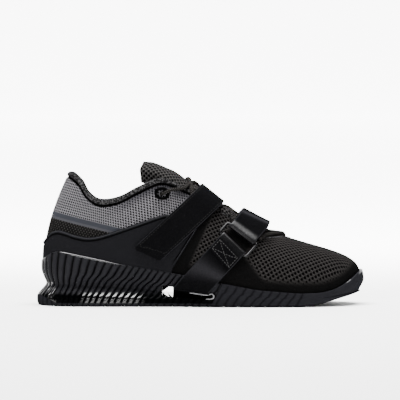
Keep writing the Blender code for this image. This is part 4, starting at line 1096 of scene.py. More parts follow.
def make_upper(paint):
    columns = 520
    u = np.linspace(0, ROUND, columns, endpoint=False)
    shares = np.concatenate([np.linspace(0, 0.84, 64, endpoint=False), np.linspace(0.84, 1, 34)])
    rim = rim_share(u)
    rows = [last_point(u, rim * part) for part in (0.0, 0.5)]
    surface = np.array([last_point(u, rim + (1 - rim) * g) for g in shares])
    over_rim = np.array([run_along(column) for column in surface.transpose(1, 0, 2)]).T
    belows = over_rim[-1] - over_rim
    for g, base, below in zip(shares, surface, belows):
        normal = last_normal(u, rim + (1 - rim) * g)
        rows.append(base + normal * collar_relief(u, below)[:, None])
    wall = wall_thickness(u, np.ones(columns))
    outer_top = rows[-1]
    inner_top = outer_point(u, np.ones(columns), -wall)
    up = unit(last_point(u, np.ones(columns)) - last_point(u, np.full(columns, 0.97)))
    crest = []
    for turn in (30, 60, 90, 120, 150):
        a = math.radians(turn)
        across = (1 - math.cos(a)) / 2
        lift = (wall * 0.42 * math.sin(a))[:, None]
        crest.append(outer_top * (1 - across) + inner_top * across + up * lift)
    inner_shares = np.linspace(1, 0.02, 22)
    inside = [outer_point(u, rim + (1 - rim) * g, -wall_thickness(u, g)) for g in inner_shares]
    inward = np.pad(foot_outward(u), ((0, 0), (0, 1))) * -UPPER_WALL
    inside += [last_point(u, rim) + inward, last_point(u, 0 * u) + inward]
    grid = np.array([*rows, *crest, *inside])
    zeros = np.zeros(columns)
    n_inside = len(crest) + len(inside)
    far_below = [zeros + FAR_BELOW]
    below_top = np.array([*far_below * 2, *belows] + [zeros] * len(crest) + far_below * len(inside))
    rim_dist = np.array([zeros, zeros, *over_rim] + [zeros + FAR_OVER] * n_inside)
    half_crest = len(crest) // 2 + 1
    is_inside = np.array([zeros] * (len(rows) + half_crest) + [zeros + 1] * (n_inside - half_crest))
    side_arc = {side: side_lengths(side) for side in (1, -1)}
    lateral = np.interp(u, *side_arc[1])
    medial = -np.interp(ROUND - u, *side_arc[-1])
    around = np.where(u <= TOE_ROW, lateral, medial)
    points = grid.transpose(1, 0, 2)
    x, y, z = (points[..., k] for k in range(3))
    ridge_x, ridge_z = ridge_line()
    fall = np.interp(x, ridge_x, ridge_z) - z
    girth = np.sqrt(y**2 + np.clip(fall, 0, None) ** 2) * np.where(y < 0, 1, -1)
    attributes = {
        "below_top": below_top.T,
        "over_rim": rim_dist.T,
        "inside": is_inside.T,
        "round": np.repeat(around[:, None], points.shape[1], axis=1),
        "over_strip": z - strip_height(x),
        "girth": girth,
        "length": x + 0.25 * (ridge_z[0] - z),
        "front": ramp(x - VAMP_LEAN * (z - VAMP_LEVEL), VAMP_START, VAMP_START + VAMP_BLEND),
    }
    upper = skin("upper_knit", points, close_columns=True, attributes=attributes)
    finish(upper, paint, "knit", "upper", angle=60)


def ridge_line():
    """The top line of instep and vamp, from the tongue to the toe tip."""
    shares = [(0.30, 0.93), (0.45, 0.74), (0.547, 0.60), (0.638, 0.52)]
    x = [share * SHOE_LENGTH for share, _ in shares]
    z = [share * COLLAR_HEIGHT for _, share in shares]
    v = np.linspace(0.95, 0, 20)
    front = last_point(np.full(20, float(TOE_ROW)), v)
    return np.array([*x, *front[:, 0]]), np.array([*z, *front[:, 2]])


def make_insole(paint):
    inset = UPPER_WALL + 2 * TOUCH
    count = 120
    u = np.linspace(0.02, TOE_ROW - 0.02, count)
    sides = [foot_edge(side * u) - foot_outward(side * u) * inset for side in (1, -1)]
    shares = np.linspace(0, 1, 15)
    rows = []
    for level in (INSOLE_THICKNESS, 0.0):
        for t in shares if level else shares[::-1]:
            plan = sides[0] * (1 - t) + sides[1] * t
            edge = 0.6 * MM * (2 * abs(t - 0.5)) ** 8 if level else 0.0
            rows.append(stacked(*plan.T, footbed_height(plan[:, 0]) + TOUCH + level - edge))
    piece = skin("insole_cloth_top", np.array(rows).transpose(1, 0, 2))
    finish(piece, paint, "insole_cloth", "insole")


# Cage and tongue


def cage_span(u):
    """The v range that the cage covers on each column."""
    x = foot_edge(u)[:, 0]
    rim = rim_height(x) + LIE
    low = share_at(u, lambda p: p[:, 2] > rim)
    front = share_at(u, lambda p: p[:, 2] > line_height(CAGE_FRONT, CAGE_HEIGHT, p[:, 0]))
    low = np.where(x > CAGE_FRONT[0][0] * SHOE_LENGTH, np.maximum(low, front), low)
    high = share_at(u, lambda p: p[:, 2] > smooth_line(CAGE_LINE, CAGE_HEIGHT, p[:, 0]))
    return low, high


def cage_end(side):
    """The row number where the cage's front and top lines meet on one side."""
    rows = np.linspace(7.0, 10.0, 601)
    low, high = cage_span(side * rows)
    return rows[np.nonzero(high - low > 0.004)[0][-1]]


CAGE_BEAD = 0.6 * MM
CAGE_GROOVE = 0.5 * MM


def make_cage(paint):
    ends = (cage_end(-1), cage_end(1))
    u = np.linspace(-ends[0], ends[1], 420)
    low, high = cage_span(u)
    outer, inner, marks = [], [], []
    front = CAGE_FRONT[0][0] * SHOE_LENGTH
    in_front = foot_edge(u)[:, 0] > front
    heights = np.concatenate([np.linspace(0, 0.86, 22), np.linspace(0.88, 1, 14)])
    length = np.linalg.norm(last_point(u, high) - last_point(u, low), axis=1)
    for k in heights:
        v = low + (high - low) * k
        from_top = (1 - k) * length
        from_edge = np.where(in_front, np.minimum(from_top, k * length), from_top)
        bead = bell(from_edge, 1.2 * MM, 1.1 * MM)
        groove = bell(from_edge, 3.2 * MM, 1.1 * MM)
        # The marks place the film's painted highlight on the bead and its painted shade in the groove.
        marks.append(bead - groove)
        near_top = np.clip(1 - from_top / (0.9 * MM), 0, 1)
        round_off = 0.6 * CAGE_WALL * (1 - np.sqrt(1 - near_top**2))
        proud = CAGE_BEAD * bead - CAGE_GROOVE * groove - round_off
        outer.append(outer_point(u, v, FIT + CAGE_WALL + proud))
    for k in (1.0, 0.8, 0.6, 0.4, 0.2, 0.0):
        inner.append(outer_point(u, low + (high - low) * k, FIT + 0 * u))
    grid = np.array([*outer, *inner]).transpose(1, 0, 2)
    marks += [0 * u] * len(inner)
    cage = skin("cage_skin", grid, attributes={"edge": np.array(marks).T})
    finish(cage, paint, "cage_film", "cage", angle=50)


def tongue_point(u, g):
    """Points just under the upper's inner face."""
    depth = wall_thickness(u, g) + LIE + TONGUE_SINK * (1 - g)
    return outer_point(u, upper_share(u, g), -depth)


def tongue_section(u):
    """The tongue across the throat at row u: under both edges, and crowned between them."""
    edges = []
    for side in (1, -1):
        rows = np.full(3, float(side * u))
        edges.append(tongue_point(rows, np.array([0.88, 0.94, 1.0])))
    lateral, medial = edges[0], edges[1][::-1]
    middle = []
    for k in range(1, 6):
        t = k / 6
        crown = TONGUE_CROWN * (1.3 - 1.2 * ramp(u, 7.5, 10.5)) * 4 * t * (1 - t)
        point = lateral[-1] * (1 - t) + medial[0] * t
        middle.append(point + np.array([0.35 * crown, 0, 0.94 * crown]))
    return np.array([*lateral, *middle, *medial])


def tongue_end_section(base, share):
    """The tongue above the collar, share of the way to its free end."""
    moved = base.copy()
    moved[:, 1] *= 1 - 0.22 * share
    moved[:, 2] = base[5, 2] + (base[:, 2] - base[5, 2]) * (1 - 0.18 * share)
    lift = 0.50 * share - 0.17 * share * share
    return moved + np.array([-TONGUE_REACH * share, 0, TONGUE_REACH * lift])


# How far the tongue's padding stands over the modelled face, by distance along the shoe in mm
TONGUE_SWELL = (
    (55, 59, 67, 84, 92, 100, 106, 112, 117, 126, 132, 144, 150),
    (2.6, 2.8, 4.0, 4.0, 2.7, 1.5, 2.5, 1.5, 0.0, 0.0, 6.3, 6.3, 0.0),
)


def make_tongue(paint):
    first = tongue_section(7.3)
    sections = [tongue_end_section(first, s) for s in (1.0, 0.94, 0.6, 0.3)]
    sections += [tongue_section(u) for u in (7.3, 8.0, 9.0, 10.0, 11.0, 12.0, 13.0)]
    front = np.linspace(14.5, ROUND - 14.5, 11)
    sections.append(tongue_point(front, np.full(11, 0.90)))
    face = smooth_rows(np.array(sections), 8)
    face = smooth_rows(face.transpose(1, 0, 2), 5).transpose(1, 0, 2)
    columns, rows = face.shape[:2]
    j = np.arange(rows)
    t = j / (rows - 1)
    swell = np.interp(face[..., 0] / MM, *TONGUE_SWELL) * MM
    face[..., 2] += swell * np.minimum(1, 6 * t * (1 - t))
    edge = np.minimum(j, rows - 1 - j) / (rows - 1) * 10 / 3
    thick = TONGUE_WALL * np.minimum(1, 0.35 + 0.65 * edge)[None, :] * np.ones((columns, 1))
    rise = np.arange(columns)[:, None] / 8
    thick = thick * (0.45 + 0.55 * ramp(rise, 0, 1))
    back = face - grid_normals(face) * thick[..., None]
    grid = np.concatenate([face, back[:, ::-1]], axis=1)
    run = run_along(face[:, rows // 2])[:, None] * np.ones((1, 2 * rows))
    width = np.cumsum(np.linalg.norm(np.diff(face, axis=1, prepend=face[:, :1]), axis=2), axis=1)
    width -= width[:, rows // 2 : rows // 2 + 1]
    side = np.concatenate([width, width[:, ::-1]], axis=1)
    tongue = skin("tongue_knit", grid, attributes={"along": run, "across": side})
    finish(tongue, paint, "knit", "tongue", angle=60)
    return tongue


# How much further it stands up between the laces, by the same distance
LACED_SWELL = ((98, 102, 112, 117, 126, 140, 149), (0, 1.6, 1.6, 2.2, 2.8, 2.4, 0))


def swell_between_laces(tongue):
    """Lets the tongue's padding stand up round the laces that press on it."""
    for v in tongue.data.vertices:
        middle = 1 - min(1, abs(v.co.y + 2 * MM) / (16 * MM)) ** 4
        v.co.z += float(np.interp(v.co.x / MM, *LACED_SWELL)) * MM * middle


# Laces and eyelets


LATERAL_EYELETS = [(11.9, 0.90), (11.1, 0.92), (10.4, 0.92), (9.5, 0.92), (8.6, 0.91), (7.0, 0.86)]
MEDIAL_EYELETS = [(13.35, 0.92), (12.3, 0.92), (11.0, 0.92), (10.1, 0.92), (9.2, 0.91), (7.1, 0.86)]
THROAT_EDGE = (8.25, 0.99)


def spot(u, g, outward):
    """One point off the upper's surface."""
    row = np.array([float(u)])
    return Vector(outer_point(row, upper_share(row, g), outward)[0])


def surface_tree(names, *pieces):
    """A search tree over some of the model's nodes and finished pieces."""
    points, faces = [], []
    for mesh in [CAD[name].data for name in names] + [piece.data for piece in pieces]:
        start = len(points)
        points += [v.co.copy() for v in mesh.vertices]
        faces += [[start + i for i in p.vertices] for p in mesh.polygons]
    return BVHTree.FromPolygons(points, faces)


def upper_hull(profile):
    """The corners of a line pulled tight over (distance, height) points."""
    hull = []
    for p in profile:
        while len(hull) > 1:
            (x1, y1), (x2, y2) = hull[-2:]
            if (x2 - x1) * (p[1] - y1) < (y2 - y1) * (p[0] - x1):
                break
            hull.pop()
        hull.append(p)
    return hull


def resting_height(tree, x, y, reach):
    """The lowest height at which a ball of radius reach lies on the surface at (x, y)."""
    best = 0.0
    for i in range(-3, 4):
        for j in range(-3, 4):
            dx, dy = i * reach / 3, j * reach / 3
            drop = reach * reach - dx * dx - dy * dy
            if drop < 0:
                continue
            hit, _, _, _ = tree.ray_cast(Vector((x + dx, y + dy, 1)), Vector((0, 0, -1)))
            if hit is not None:
                best = max(best, hit.z + math.sqrt(drop))
    return best


def lace_route(tree, start, end):
    """The lace's line between two points, straight in plan and taut over what lies below."""
    count = 20
    profile = [(0, start.z)]
    for k in range(1, count):
        plan = start.lerp(end, k / count)
        profile.append((k / count, resting_height(tree, plan.x, plan.y, LACE_WIDTH / 2 + LIE)))
    profile.append((1, end.z))
    line = []
    for t, height in upper_hull(profile):
        plan = start.lerp(end, t)
        line.append(Vector((plan.x, plan.y, height)))
    return line


def eased(line, pitch):
    """The line resampled at an even pitch with its corners rounded."""
    points = np.array([list(p) for p in line])
    run = run_along(points)
    count = max(int(run[-1] / pitch), 8)
    found = points_at(points, run, np.linspace(0, run[-1], count + 1))
    round_corners(found, 6)
    return found


def lace_place(row, g, lift=0.0):
    return spot(row, g, LACE_WIDTH / 2 + LIE + lift)


def lace_line(tree, start, end):
    """One run of lace, from down in one eyelet to down in the other."""
    a, b = lace_place(*start), lace_place(*end)
    if abs(end[0]) < 8:
        side = math.copysign(1, end[0])
        edge = (side * THROAT_EDGE[0], THROAT_EDGE[1])
        on_upper = []
        for k in range(4):
            t = k / 3
            row = edge[0] + (end[0] - edge[0]) * t
            over_eyelet = (EYELET_WIRE + LIE) * float(ramp(t, 0.3, 0.8)) * (1 - 1.4 * (k == 3))
            on_upper.append(lace_place(row, edge[1] + (end[1] - edge[1]) * t, over_eyelet))
        line = lace_route(tree, a, on_upper[0]) + on_upper[1:]
    else:
        line = lace_route(tree, a, b)
    into = [spot(*place, -0.5 * MM) for place in (start, end)]
    return [into[0], *line, into[1]]


def make_laces(tree, paint):
    """The lace: a bar across the foot of the throat, then crossings up to the top eyelets."""
    lateral = LATERAL_EYELETS
    medial = [(-row, g) for row, g in MEDIAL_EYELETS]
    runs = [(lateral[0], medial[0])]
    for k in range(len(lateral) - 1):
        runs += [(lateral[k], medial[k + 1]), (medial[k], lateral[k + 1])]
    points, faces, along, around = [], [], [], []
    sides = 16
    for start, end in runs:
        line = eased(lace_line(tree, start, end), 0.7 * MM)
        grid, lengths = tube_grid(line, LACE_WIDTH * 1.3, LACE_WIDTH * 1.0, sides)
        base = len(points)
        columns = len(grid)
        faces += [[base + i for i in f] for f in loop_faces(columns, sides, False, True)]
        for end_base in (base, base + (columns - 1) * sides):
            faces.append(list(range(end_base, end_base + sides)))
        points += grid.reshape(-1, 3).tolist()
        along += np.repeat(lengths, sides).tolist()
        turn = np.linspace(0, 2 * math.pi, sides, endpoint=False) * LACE_WIDTH / 2
        around += np.tile(turn, columns).tolist()
    laces = weld(make_mesh("lace", points, faces, {"along": along, "around": around}), 0.001 * MM)
    finish(laces, paint, "lace_cord", "laces", angle=70)


def make_eyelet(name, row, g, paint, node):
    """An oval ring that lies on the upper around the lace's hole."""
    width, wire = EYELET_WIDTH * 1.2, EYELET_WIRE * 1.3
    centre = spot(row, g, 0)
    normal = (spot(row, g, 2 * MM) - centre).normalized()
    along = (spot(row + 0.2, g, 0) - centre).normalized()
    across = normal.cross(along).normalized()
    line = []
    for a in np.linspace(0, 2 * math.pi, 40, endpoint=False):
        outward = along * (1.25 * math.cos(a)) + across * math.sin(a)
        line.append(centre + outward * (width / 2 - wire / 2) + normal * wire * 0.7)
    grid, _ = tube_grid(line, wire, wire, 12, closed=True)
    ring = skin(name, grid, close_columns=True)
    finish(ring, paint, "lace_cord", node, angle=60)


# Straps and ring


INSTEP_RIDGE = (0.412 * SHOE_LENGTH, 0.842 * COLLAR_HEIGHT)
INSTEP_LEAN = math.radians(47.6)
INSTEP_DEPTH = 35 * MM
BALL_RIDGE = (0.541 * SHOE_LENGTH, 0.655 * COLLAR_HEIGHT)
BALL_LEAN = math.radians(42.5)
BALL_DEPTH = 32 * MM

LAYER = LIE + STRAP_THICKNESS / 2
SECOND_LAYER = LAYER + STRAP_THICKNESS + 2 * TOUCH
BAR_HEIGHT = LAYER + STRAP_THICKNESS / 2 + TOUCH + RING_WIRE / 2
WRAP = RING_WIRE / 2 + TOUCH + STRAP_THICKNESS / 2
FEELERS = 17


class StrapPath:
    """The taut line of a strap round the shoe, in planes that lean back with the instep.

    phi is the angle round from the ridge, positive to the lateral side, and w runs across the
    strap from -1 to 1. stop(x) is the height that the strap doesn't pass on its way down.
    """

    def __init__(self, tree, ridge, lean, depth, width, stop):
        self.up = Vector((math.sin(lean), 0, math.cos(lean)))
        self.across = Vector((math.cos(lean), 0, -math.sin(lean)))
        self.centre = Vector((ridge[0], 0, ridge[1])) - self.up * depth
        self.half = width / 2
        self.stop = stop
        self.angles = np.radians(np.arange(-159, 160, 3.0))
        shares = np.linspace(-1, 1, FEELERS)
        radii = [self.feel(tree, w) for w in shares]
        lift = np.zeros(len(self.angles))
        for w, line in zip(shares, radii):
            straight = radii[0] + (radii[-1] - radii[0]) * (w + 1) / 2
            lift = np.maximum(lift, line - straight)
        self.low = self.taut(radii[0] + lift)
        self.high = self.taut(radii[-1] + lift)

    def direction(self, phi):
        return self.up * math.cos(phi) + Vector((0, -1, 0)) * math.sin(phi)

    def feel(self, tree, w):
        """Distances of the surface round one plane, held level past the stop on each side."""
        start = self.centre + self.across * self.half * w
        middle = len(self.angles) // 2
        radii = np.zeros(len(self.angles))
        for side in (1, -1):
            i, reach, past = middle, 0.0, False
            while 0 <= i < len(self.angles):
                ray = self.direction(self.angles[i])
                hit, _, _, _ = tree.ray_cast(start + ray * 0.2, -ray)
                past = past or hit is None or hit.z < self.stop(hit.x)
                reach = reach if past else (hit - start).length
                radii[i] = reach
                i += side
        return radii

    def taut(self, radii):
        """The radii of the convex line round the given ones."""
        line = zip(radii, self.angles)
        hull = upper_hull([(r * math.sin(phi), r * math.cos(phi)) for r, phi in line])
        turns = [math.atan2(x, y) for x, y in hull]
        found = []
        for phi in self.angles:
            i = min(max(int(np.searchsorted(turns, phi)), 1), len(hull) - 1)
            (x1, y1), (x2, y2) = hull[i - 1], hull[i]
            bottom = (x2 - x1) * math.cos(phi) - (y2 - y1) * math.sin(phi)
            found.append(abs((x2 * y1 - x1 * y2) / bottom))
        return np.array(found)

    def base(self, phi, w):
        low = float(np.interp(phi, self.angles, self.low))
        high = float(np.interp(phi, self.angles, self.high))
        radius = low + (high - low) * (w + 1) / 2
        return self.centre + self.across * self.half * w + self.direction(phi) * radius

    def point(self, phi, w, height, ahead=0.0):
        """A point off the surface by height, and moved ahead toward the lateral side."""
        step = math.radians(3)
        along = (self.base(phi + step, w) - self.base(phi - step, w)).normalized()
        off = self.across.cross(along).normalized()
        if off.dot(self.direction(phi)) < 0:
            off = -off
        return self.base(phi, w) + off * height + along * ahead

    def walk(self, phi, distance):
        """The angle reached after a distance along the strap's middle."""
        step = math.radians(0.5 if distance > 0 else -0.5)
        left = abs(distance)
        here = self.base(phi, 0)
        while left > 0:
            there = self.base(phi + step, 0)
            left -= (there - here).length
            here, phi = there, phi + step
        return phi

    def angle_down(self, side, place, level):
        """The angle, from 60 degrees on, where the point place(phi) is below level(x)."""
        phi = side * math.radians(60)
        while abs(phi) < self.angles[-1]:
            p = place(phi)
            if p.z < level(p.x):
                break
            phi += side * math.radians(0.5)
        return phi

    def stop_angle(self, w, side, above):
        """The angle where the strap's line comes down to the stop height plus above."""

        def place(phi):
            return self.point(phi, w, LAYER)

        return self.angle_down(side, place, lambda x: self.stop(x) + above)


def slot_ceiling(x):
    outline = slot_outline()
    share = (x - outline[0][0]) / (outline[1][0] - outline[0][0])
    return outline[-1][1] + (outline[-2][1] - outline[-1][1]) * share


OVER_RIM = 1.2 * MM


def rim_stop(x):
    return float(rim_height(np.array([x]))[0]) + OVER_RIM


def rim_angle(path, w, side):
    """The angle where the strap's line passes the sole's rim."""
    return path.angle_down(side, lambda phi: path.base(phi, w), lambda x: rim_stop(x) - OVER_RIM)


def slot_tail(path, w, side):
    """The strap's line from inside the slot, round its upper edge, to where its path starts."""
    phi = path.stop_angle(w, side, 1.0 * MM)
    entry = path.point(phi, w, LAYER)
    top = slot_ceiling(entry.x)
    radius = LIE + STRAP_THICKNESS / 2
    outward = Vector((0, -side, 0))
    corner = Vector((entry.x, entry.y, top)) - outward * radius
    tail = []
    for y in (1.5 * MM, abs(corner.y) / 2):
        tail.append(Vector((entry.x, -side * y, top - radius)))
    for turn in (0, 30, 60, 90):
        a = math.radians(turn)
        tail.append(corner + outward * radius * math.sin(a) - UP * radius * math.cos(a))
    return phi, tail


def wrap_points(path, phi, w, side):
    """Half a turn of strap about a bar, on its side that faces the other bar."""
    points = []
    for turn in (-90, -60, -30, 0, 30, 60, 90):
        a = math.radians(turn)
        ahead = -side * WRAP * math.cos(a)
        points.append(path.point(phi, w, BAR_HEIGHT + WRAP * math.sin(a), ahead))
    return points


def angles_between(start, end):
    """Angles from start to end, not much over 5 degrees apart."""
    return np.linspace(start, end, max(int(abs(end - start) / math.radians(5)), 3))


def strap_column(path, w, side, bar, back):
    """The strap's line at w: out of the slot, up to a bar, round it and back over itself."""
    start, column = slot_tail(path, w, side)
    turn = side * max(math.radians(66), side * bar + math.radians(15))
    corner = rim_angle(path, w, side)
    fold = side * math.radians(1.5)
    for phi in ((start + corner) / 2, corner + fold, corner - fold):
        column.append(path.point(phi, w, LAYER))
    for share in (0.2, 0.4, 0.6, 0.8, 1.0):
        column.append(path.point(corner + (turn - corner) * share, w, LAYER))
    near = bar + side * math.radians(4)
    for phi in angles_between(turn, near)[1:]:
        column.append(path.point(phi, w, LAYER))
    column += wrap_points(path, bar, w, side)
    top = BAR_HEIGHT + WRAP
    settled = path.walk(bar, side * 11 * MM)
    for share, height in ((0.4, 0.75), (0.75, 0.25)):
        phi = bar + (settled - bar) * share
        column.append(path.point(phi, w, SECOND_LAYER + (top - SECOND_LAYER) * height))
    end = path.walk(bar, side * back)
    for phi in angles_between(settled, end):
        column.append(path.point(phi, w, SECOND_LAYER))
    return column


def ribbon(name, centre, w, bar=None):
    """A strap of even thickness about a grid of points, with eased edges; and its top grid."""
    normal = grid_normals(centre)
    past = np.clip((np.abs(w) - 0.93) / 0.07, 0, 1)
    ease = (1 - np.sqrt(1 - 0.9 * past**2)) * 0.7
    half = (STRAP_THICKNESS / 2 * (1 - ease))[None, :, None]
    top = centre + normal * half
    bottom = centre - normal * half
    grid = np.concatenate([top, bottom[:, ::-1]], axis=1)
    run = run_along(centre[:, len(w) // 2])
    lengths = run[:, None] * np.ones((1, 2 * len(w)))
    side = np.concatenate([w, w[::-1]])[None, :] * np.ones((len(run), 1))
    fold, painted_sheen = np.zeros(lengths.shape), np.zeros(lengths.shape)
    if bar is not None:
        away = np.linalg.norm(centre[:, len(w) // 2] - np.array(bar), axis=1)
        fold += np.exp(-((away / (4.5 * MM)) ** 4))[:, None]
        # A band of painted sheen about 33 mm from the bar.
        painted_sheen += bell(away, 33 * MM, 11 * MM)[:, None]
    attributes = {"along": lengths, "across": side, "fold": fold, "painted_sheen": painted_sheen}
    return skin(name, grid, attributes=attributes), top, run


HALF_SHARES = [0.25, 0.5, 0.75, 0.86, 0.92, 0.96, 0.985, 1]
STRAP_SHARES = np.array([-share for share in HALF_SHARES[::-1]] + [0] + HALF_SHARES)


# The instep strap's slanted and rounded free end: how many mm it is short by, across the strap
FREE_END = (
    (-1, -0.96, -0.9, -0.8, 0.8, 0.9, 0.96, 1),
    (5.5, 2.6, 0.9, 0.0, 9.0, 10.3, 11.8, 15.0),
)


def make_instep_strap(tree, paint, thread):
    """The instep strap: from the medial seam over the laces to its free end on the cage."""
    path = StrapPath(tree, INSTEP_RIDGE, INSTEP_LEAN, INSTEP_DEPTH, INSTEP_STRAP_WIDTH, rim_stop)
    end_phi = path.walk(math.radians(90), STRAP_REACH)
    w = np.unique(np.concatenate([STRAP_SHARES, np.linspace(-0.98, -0.7, 8), np.linspace(0.7, 0.98, 8)]))
    trims = np.interp(w, *FREE_END)
    columns = []
    for share, trim in zip(w, trims):
        start = path.stop_angle(share, -1, STRAP_THICKNESS)
        end = path.walk(end_phi, -trim * MM) if trim else end_phi
        columns.append([path.point(phi, share, LAYER) for phi in np.linspace(start, end, 160)])
    centre = np.array(columns).transpose(1, 0, 2)
    round_corners(centre, 10)
    strap, top, run = ribbon("instep_strap_band", centre, w)
    finish(strap, paint, "strap_leather", "instep_strap", angle=50)
    border = [(0.50, -0.84), (0.975, -0.84), (0.982, -0.78), (0.952, 0.74), (0.94, 0.84), (0.50, 0.84)]
    sew("instep_stitches", top, run, w, [border], thread, 0.5 * MM)


def make_ring_strap(name, node, path, side, bar, back, paint):
    """A strap that comes out of the slot, folds round one of the ring's bars and returns."""
    columns = [strap_column(path, share, side, bar, back) for share in (-1, 1)]
    keys = np.array(columns).transpose(1, 0, 2)
    line = smooth_rows(keys, 5)
    t = ((STRAP_SHARES + 1) / 2)[None, :, None]
    centre = line[:, :1] * (1 - t) + line[:, 1:] * t
    strap, top, run = ribbon(name, centre, STRAP_SHARES, path.point(bar, 0, BAR_HEIGHT))
    finish(strap, paint, "strap_leather", node, angle=50)
    return top, run


def make_ring(path, upper, lower, paint):
    """The wire ring: two bars under the straps, joined past their edges by round corners."""
    reach = 1 + (RING_WIRE / 2 + RING_SPARE) / path.half
    corners = [(upper, -reach), (lower, -reach), (lower, reach), (upper, reach)]
    places = [path.point(phi, w, BAR_HEIGHT) for phi, w in corners]
    line = []
    for i, corner in enumerate(places):
        before = (places[i - 1] - corner).normalized()
        after = (places[(i + 1) % 4] - corner).normalized()
        start, end = corner + before * RING_BEND, corner + after * RING_BEND
        for t in np.linspace(0, 1, 9):
            line.append(start * (1 - t) ** 2 + corner * 2 * t * (1 - t) + end * t * t)
    grid, _ = tube_grid(line, RING_WIRE, RING_WIRE, 20, closed=True)
    ring = skin("ring_wire", grid, close_columns=True)
    finish(ring, paint, "ring_wire", "ring", angle=60)


def sample(top, w, s, t):
    """The point of a strap's top at share s along and w-coordinate t."""
    i = s * (len(top) - 1)
    a = int(min(i, len(top) - 2))
    row = top[a] + (top[a + 1] - top[a]) * (i - a)
    return np.array([np.interp(t, w, row[:, k]) for k in range(3)])


def stitch_shape():
    """One stitch: a unit capsule along X."""
    points = []
    for x, r in ((-0.5, 0.35), (-0.3, 0.9), (0.0, 1.0), (0.3, 0.9), (0.5, 0.35)):
        for a in np.linspace(0, 2 * math.pi, 6, endpoint=False):
            points.append((x, r * math.cos(a), r * math.sin(a)))
    faces = loop_faces(5, 6, False, True) + [tuple(range(6)), tuple(range(29, 23, -1))]
    return np.array(points), faces


STITCH_PITCH = 2.7 * MM
STITCH_LENGTH = 2.0 * MM


def sew(name, top, run, w, lines, paint, width):
    """Rows of stitches along lines given as (share along, coordinate across) on a strap."""
    shape, shape_faces = stitch_shape()
    points, faces = [], []
    for line in lines:
        s = np.array(line, float)
        s[:, 0] = np.interp(s[:, 0] * run[-1], run, np.linspace(0, 1, len(run)))
        legs = [np.linspace(a, b, 40, endpoint=False) for a, b in zip(s, s[1:])]
        fine = np.concatenate([*legs, s[-1:]])
        places = np.array([sample(top, w, *p) for p in fine])
        gone = run_along(places)
        for at in np.arange(STITCH_PITCH / 2, gone[-1], STITCH_PITCH):
            ends = [points_at(places, gone, at + d) for d in (-0.1 * MM, 0.1 * MM)]
            along = Vector(ends[1] - ends[0]).normalized()
            i = min(int(np.interp(at, gone, fine[:, 0]) * (len(top) - 1)), len(top) - 2)
            down = Vector(top[i + 1, 0] - top[i, 0]).cross(Vector(top[i, -1] - top[i, 0])).normalized()
            side = down.cross(along).normalized()
            centre = Vector(ends[0])
            base = len(points)
            for x, y, z in shape:
                place = centre + along * x * STITCH_LENGTH + side * y * width / 2
                points.append(place + down * z * width / 2)
            faces += [[base + k for k in f] for f in shape_faces]
    stitches = weld(make_mesh(name, points, faces), 0.0005 * MM)
    finish(stitches, paint, "strap_leather", angle=60)


def sew_anchor(top, run, thread):
    """The boxed cross of thread at the anchor's end."""
    far, near = (1 - distance / run[-1] for distance in (1.6 * MM, 12.5 * MM))
    box = [(far, -0.84), (far, 0.84), (near, 0.84), (near, -0.84), (far, -0.84), (near, 0.84)]
    cross = [(far, 0.84), (near, -0.84)]
    sew("anchor_stitches", top, run, STRAP_SHARES, [box, cross], thread, 0.75 * MM)


# Studio


HALF_STAGE = 8.0
FLAT_END = 6.0
SWEEP = 1.2
WALL_TOP = 5.0
GLOW_START = 0.1
GLOW_FULL = 1.1
GLOW = 6.5


def make_floor():
    """A pale sweep, flat and then turning up far behind, that glows more and more behind the shoe."""
    line = [(-HALF_STAGE, 0.0), (FLAT_END, 0.0)]
    for a in np.linspace(0, math.pi / 2, 14):
        line.append((FLAT_END + SWEEP * math.sin(a), SWEEP * (1 - math.cos(a))))
    line.append((FLAT_END + SWEEP, WALL_TOP))
    points = [(x, y, z) for x in (-HALF_STAGE, HALF_STAGE) for y, z in line]
    count = len(line)
    faces = [(i, i + count, i + count + 1, i + 1) for i in range(count - 1)]
    floor = make_mesh("floor", points, faces)
    floor.data.shade_smooth()
    paint = Paint("pale floor", (0.90, 0.90, 0.895), 0.8, specular_ior_level=0.1)
    far = paint.split(paint.place())[1]
    glow = paint.step(far, GLOW_START, GLOW_FULL)
    paint.set("Emission Color", paint.mix(glow, (0.0, 0.0, 0.0), (1.0, 1.0, 1.0)))
    paint.set("Emission Strength", GLOW)
    floor.data.materials.append(paint.material)


def aim(thing, target):
    thing.rotation_euler = (Vector(target) - thing.location).to_track_quat("-Z", "Y").to_euler()


def make_light(name, place, target, size, power):
    data = bpy.data.lights.new(name, "AREA")
    data.shape = "RECTANGLE"
    data.size, data.size_y = size
    data.energy = power
    light = bpy.data.objects.new(name, data)
    bpy.context.scene.collection.objects.link(light)
    light.location = place
    aim(light, target)


def make_studio():
    world = bpy.data.worlds.new("studio")
    bpy.context.scene.world = world
    world.use_nodes = True
    inputs = world.node_tree.nodes["Background"].inputs
    inputs["Color"].default_value = (1, 1, 1, 1)
    inputs["Strength"].default_value = 0.3
    make_light("top_softbox", (0.1, 0.1, 2.2), (0.1, 0.1, 0), (2.2, 1.8), 335)
    make_light("front_strip", (-0.3, -1.6, 0.5), (0.1, 0, 0.03), (1.0, 0.15), 10)


# The photograph's view: square on to the lateral side from far away, a little above the floor
CAMERA_ELEVATION = math.radians(2.5)
CAMERA_DISTANCE = 5.0
FRAME_WIDTH = 359.2 * MM
VIEW_CENTRE = (110.04 * MM, -45 * MM)
VIEW_LEVEL = 94.2 * MM
SENSOR = 36.0


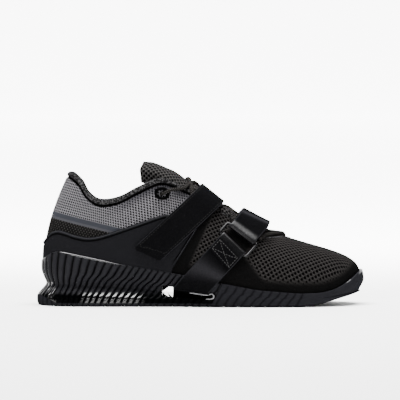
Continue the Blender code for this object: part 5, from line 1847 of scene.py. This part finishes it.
def make_camera():
    up = Vector((0, math.sin(CAMERA_ELEVATION), math.cos(CAMERA_ELEVATION)))
    back = Vector((0, -math.cos(CAMERA_ELEVATION), math.sin(CAMERA_ELEVATION)))
    middle = Vector((VIEW_CENTRE[0], 0, 0)) + up * VIEW_LEVEL
    middle += back * (-VIEW_CENTRE[1] / math.cos(CAMERA_ELEVATION))
    data = bpy.data.cameras.new("camera")
    data.sensor_width = SENSOR
    data.lens = SENSOR * CAMERA_DISTANCE / FRAME_WIDTH
    data.clip_end = 30
    camera = bpy.data.objects.new("camera", data)
    bpy.context.scene.collection.objects.link(camera)
    camera.location = middle + back * CAMERA_DISTANCE
    aim(camera, middle)
    bpy.context.scene.camera = camera


def main():
    make_camera()
    make_studio()
    make_floor()
    rubber, gloss, strap = rubber_paint(), heel_paint(), strap_paint()
    cord, thread = cord_paint(), thread_paint("grey thread", 0.024)
    make_sole(rubber, gloss)
    make_upper(knit_paint())
    make_cage(film_paint())
    tongue = make_tongue(tongue_paint())
    make_insole(lining_paint())
    soft = surface_tree(["upper"], tongue)
    make_laces(soft, cord)
    swell_between_laces(tongue)
    coating = eyelet_paint()
    row, g = LATERAL_EYELETS[-1]
    make_eyelet("eyelet_ring_lateral", row, g, coating, "eyelet_lateral")
    row, g = MEDIAL_EYELETS[-1]
    make_eyelet("eyelet_ring_medial", -row, g, coating, "eyelet_medial")
    pieces = ["upper", "cage", "tongue", "laces", "eyelet_lateral", "eyelet_medial"]
    make_instep_strap(surface_tree(pieces), strap, thread_paint("dark thread", 0.011))
    under = surface_tree([*pieces, "outsole", "heel_block"])
    path = StrapPath(under, BALL_RIDGE, BALL_LEAN, BALL_DEPTH, BALL_STRAP_WIDTH, slot_ceiling)
    upper_bar = path.walk(0, RING_DISTANCE)
    lower_bar = path.walk(upper_bar, RING_INSIDE + RING_WIRE)
    top, run = make_ring_strap("anchor_band", "strap_anchor", path, 1, lower_bar, STRAP_TAB, strap)
    sew_anchor(top, run, thread)
    back = RING_DISTANCE + STRAP_RETURN
    make_ring_strap("ball_strap_band", "ball_strap", path, -1, upper_bar, back, strap)
    make_ring(path, upper_bar, lower_bar, ring_paint())


main()
